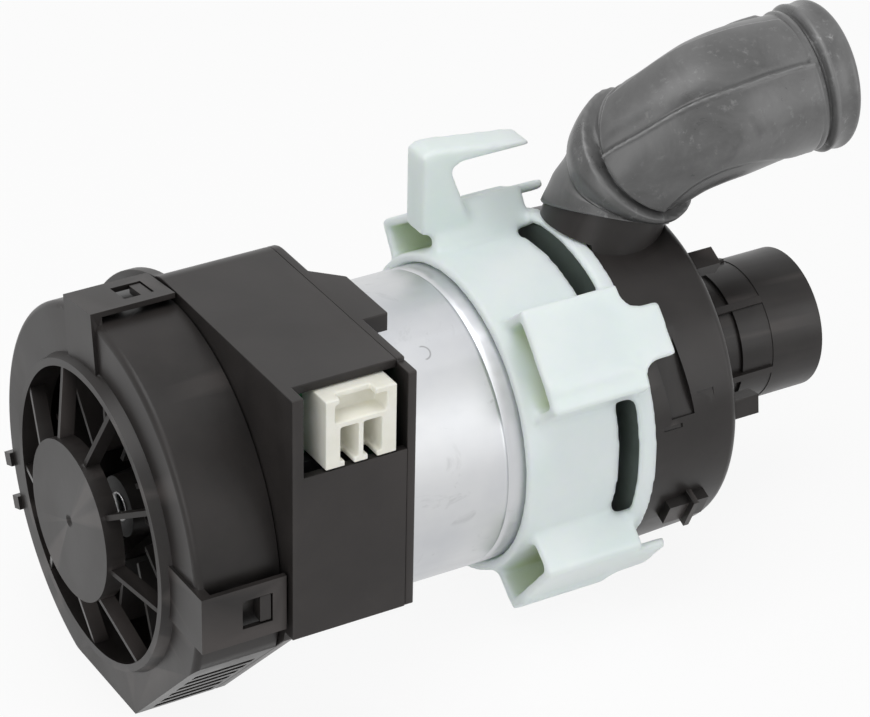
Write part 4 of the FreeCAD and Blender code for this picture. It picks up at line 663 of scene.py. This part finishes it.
def elbow_sections():
    """Distance along the path and radius for each angle, from the foot round the rim and back."""
    for share, thick in SKIRT_SHAPE:
        yield skirt_section(share, COLLAR_RADIUS + SKIRT_WALL * thick)
    distance = 0.0
    while distance < ELBOW_LENGTH - RIM_LENGTH:
        yield [(distance, elbow_radius(distance, 360 * k / ROUND_STEPS)) for k in range(ROUND_STEPS)]
        plain = PLAIN_STRETCH[0] <= distance <= PLAIN_STRETCH[1]
        distance += PLAIN_STEP if plain else FINE_STEP
    rim = elbow_radius(ELBOW_LENGTH - RIM_LENGTH, 0)
    lip = (rim - MOUTH_BORE) / 2
    for step in range(1, RIM_STEPS):
        turn = math.pi * step / RIM_STEPS
        yield even_section(ELBOW_LENGTH - RIM_LENGTH + RIM_LENGTH * math.sin(turn),
                           MOUTH_BORE + lip + lip * math.cos(turn))
    distance = ELBOW_LENGTH - BORE_START
    while distance > ELBOW_LENGTH - BORE_END:
        yield even_section(distance, MOUTH_BORE)
        distance -= INSIDE_STEP
    while distance > PIPE_REACH + CAVITY_END:
        yield even_section(distance, curve_value(TUBE_RADII, distance) - ELBOW_WALL)
        distance -= INSIDE_STEP
    for distance in (PIPE_REACH, PIPE_REACH / 2, SEAT_LIFT):
        yield even_section(distance, PIPE_RADIUS)
    yield even_section(SEAT_LIFT, COLLAR_RADIUS)
    for share in SKIRT_INSIDE:
        yield skirt_section(share, COLLAR_RADIUS)


def elbow_frame(distance):
    """Centre of a section and its two directions: outside of the bend and near side."""
    facing = curve_value([(place, Vector(way)) for place, way in FACINGS], distance).normalized()
    outer = facing.cross(Vector((0, 1, 0))).normalized()
    return elbow_centre(distance), outer, facing.cross(outer)


def add_piece(name, mesh, slot):
    """Turn a bmesh into a piece of the pump in a slot's finish."""
    data = bpy.data.meshes.new(name)
    mesh.to_mesh(data)
    mesh.free()
    data.materials.append(FINISHES[slot])
    data.shade_smooth()
    piece = bpy.data.objects.new(name, data)
    SCENE.collection.objects.link(piece)
    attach(piece, "pump")
    return piece


def make_elbow():
    """Rubber elbow with its leaning beads, raised panels, parting ridges and rolled cuff."""
    mesh = bmesh.new()
    rings = []
    for section in elbow_sections():
        frames = {distance: elbow_frame(distance) for distance, _ in set(section)}
        ring = []
        for index, (distance, radius) in enumerate(section):
            angle = 2 * math.pi * index / ROUND_STEPS
            centre, outer, near = frames[distance]
            place = centre + radius * (math.cos(angle) * outer + math.sin(angle) * near)
            ring.append(mesh.verts.new(place * MM))
        rings.append(ring)
    rings.append(rings[0])
    for first, second in zip(rings, rings[1:]):
        for index in range(ROUND_STEPS):
            after = (index + 1) % ROUND_STEPS
            mesh.faces.new((first[index], first[after], second[after], second[index]))
    bmesh.ops.recalc_face_normals(mesh, faces=mesh.faces)
    piece = add_piece("rubber_elbow", mesh, "rubber_grey")
    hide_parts("outlet_elbow")


def make_header():
    """Power socket with soft moulded edges, a little narrower than the CAD socket."""
    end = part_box("power_header")[1].x
    mesh = bmesh.new()
    mesh.from_mesh(NODES["power_header"].data)
    bmesh.ops.remove_doubles(mesh, verts=mesh.verts, dist=WELD_GAP)
    for corner in mesh.verts:
        corner.co.x = end - (end - corner.co.x) * HEADER_SHARE
    piece = add_piece("socket_housing", mesh, "header_plastic")
    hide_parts("power_header")
    soften(piece, *HEADER_SOFTNESS)


def make_floor():
    """Pale studio floor, white to the camera apart from the object's soft shadow."""
    mesh = bpy.data.meshes.new("studio_floor")
    corners = [(-FLOOR_HALF, -FLOOR_HALF), (FLOOR_HALF, -FLOOR_HALF), (FLOOR_HALF, FLOOR_HALF),
               (-FLOOR_HALF, FLOOR_HALF)]
    mesh.from_pydata([(x, y, FLOOR_LEVEL) for x, y in corners], [], [(0, 1, 2, 3)])
    floor = bpy.data.objects.new("studio_floor", mesh)
    SCENE.collection.objects.link(floor)
    look = Finish("studio_floor")
    look.set(Base_Color=grey(0.86), Roughness=0.9)
    glow = look.node("ShaderNodeEmission")
    glow.inputs["Color"].default_value = (1, 1, 1, 1)
    glow.inputs["Strength"].default_value = 1.0
    path = look.node("ShaderNodeLightPath")
    seen = look.maths("MAXIMUM", path.outputs["Is Camera Ray"], path.outputs["Is Glossy Ray"])
    seen = look.maths("MAXIMUM", seen, path.outputs["Is Transmission Ray"])
    share = look.maths("MULTIPLY", seen, FLOOR_GLOW)
    blend = look.node("ShaderNodeMixShader")
    look.links.new(share, blend.inputs[0])
    look.links.new(look.shader.outputs[0], blend.inputs[1])
    look.links.new(glow.outputs[0], blend.inputs[2])
    out = look.nodes["Material Output"]
    look.links.new(blend.outputs[0], out.inputs["Surface"])
    mesh.materials.append(look.material)


def make_world():
    """White world behind the part, softer where it lights the part."""
    world = bpy.data.worlds.new("studio")
    world.use_nodes = True
    SCENE.world = world
    nodes = world.node_tree.nodes
    links = world.node_tree.links
    back = nodes["Background"]
    back.inputs["Color"].default_value = (1, 1, 1, 1)
    path = nodes.new("ShaderNodeLightPath")
    seen = nodes.new("ShaderNodeMath")
    seen.operation = "MAXIMUM"
    links.new(path.outputs["Is Camera Ray"], seen.inputs[0])
    links.new(path.outputs["Is Glossy Ray"], seen.inputs[1])
    shown = nodes.new("ShaderNodeMath")
    shown.operation = "MAXIMUM"
    links.new(seen.outputs[0], shown.inputs[0])
    links.new(path.outputs["Is Transmission Ray"], shown.inputs[1])
    level = nodes.new("ShaderNodeMapRange")
    links.new(shown.outputs[0], level.inputs["Value"])
    level.inputs["To Min"].default_value = WORLD_ON_PART
    level.inputs["To Max"].default_value = 1.0
    links.new(level.outputs[0], back.inputs["Strength"])


def make_softbox(name, spot, size, power):
    data = bpy.data.lights.new(name, "AREA")
    data.shape = "RECTANGLE"
    data.size, data.size_y = size
    data.energy = power
    lamp = bpy.data.objects.new(name, data)
    lamp.location = spot
    toward = SOFTBOX_AIM - Vector(spot)
    lamp.rotation_euler = toward.to_track_quat("-Z", "Y").to_euler()
    SCENE.collection.objects.link(lamp)


SCENE.view_settings.view_transform = "Standard"
make_camera()
make_world()
for lamp_name, lamp_values in SOFTBOXES.items():
    make_softbox(lamp_name, *lamp_values)
make_floor()
dress_cad_nodes()
make_header()
make_elbow()
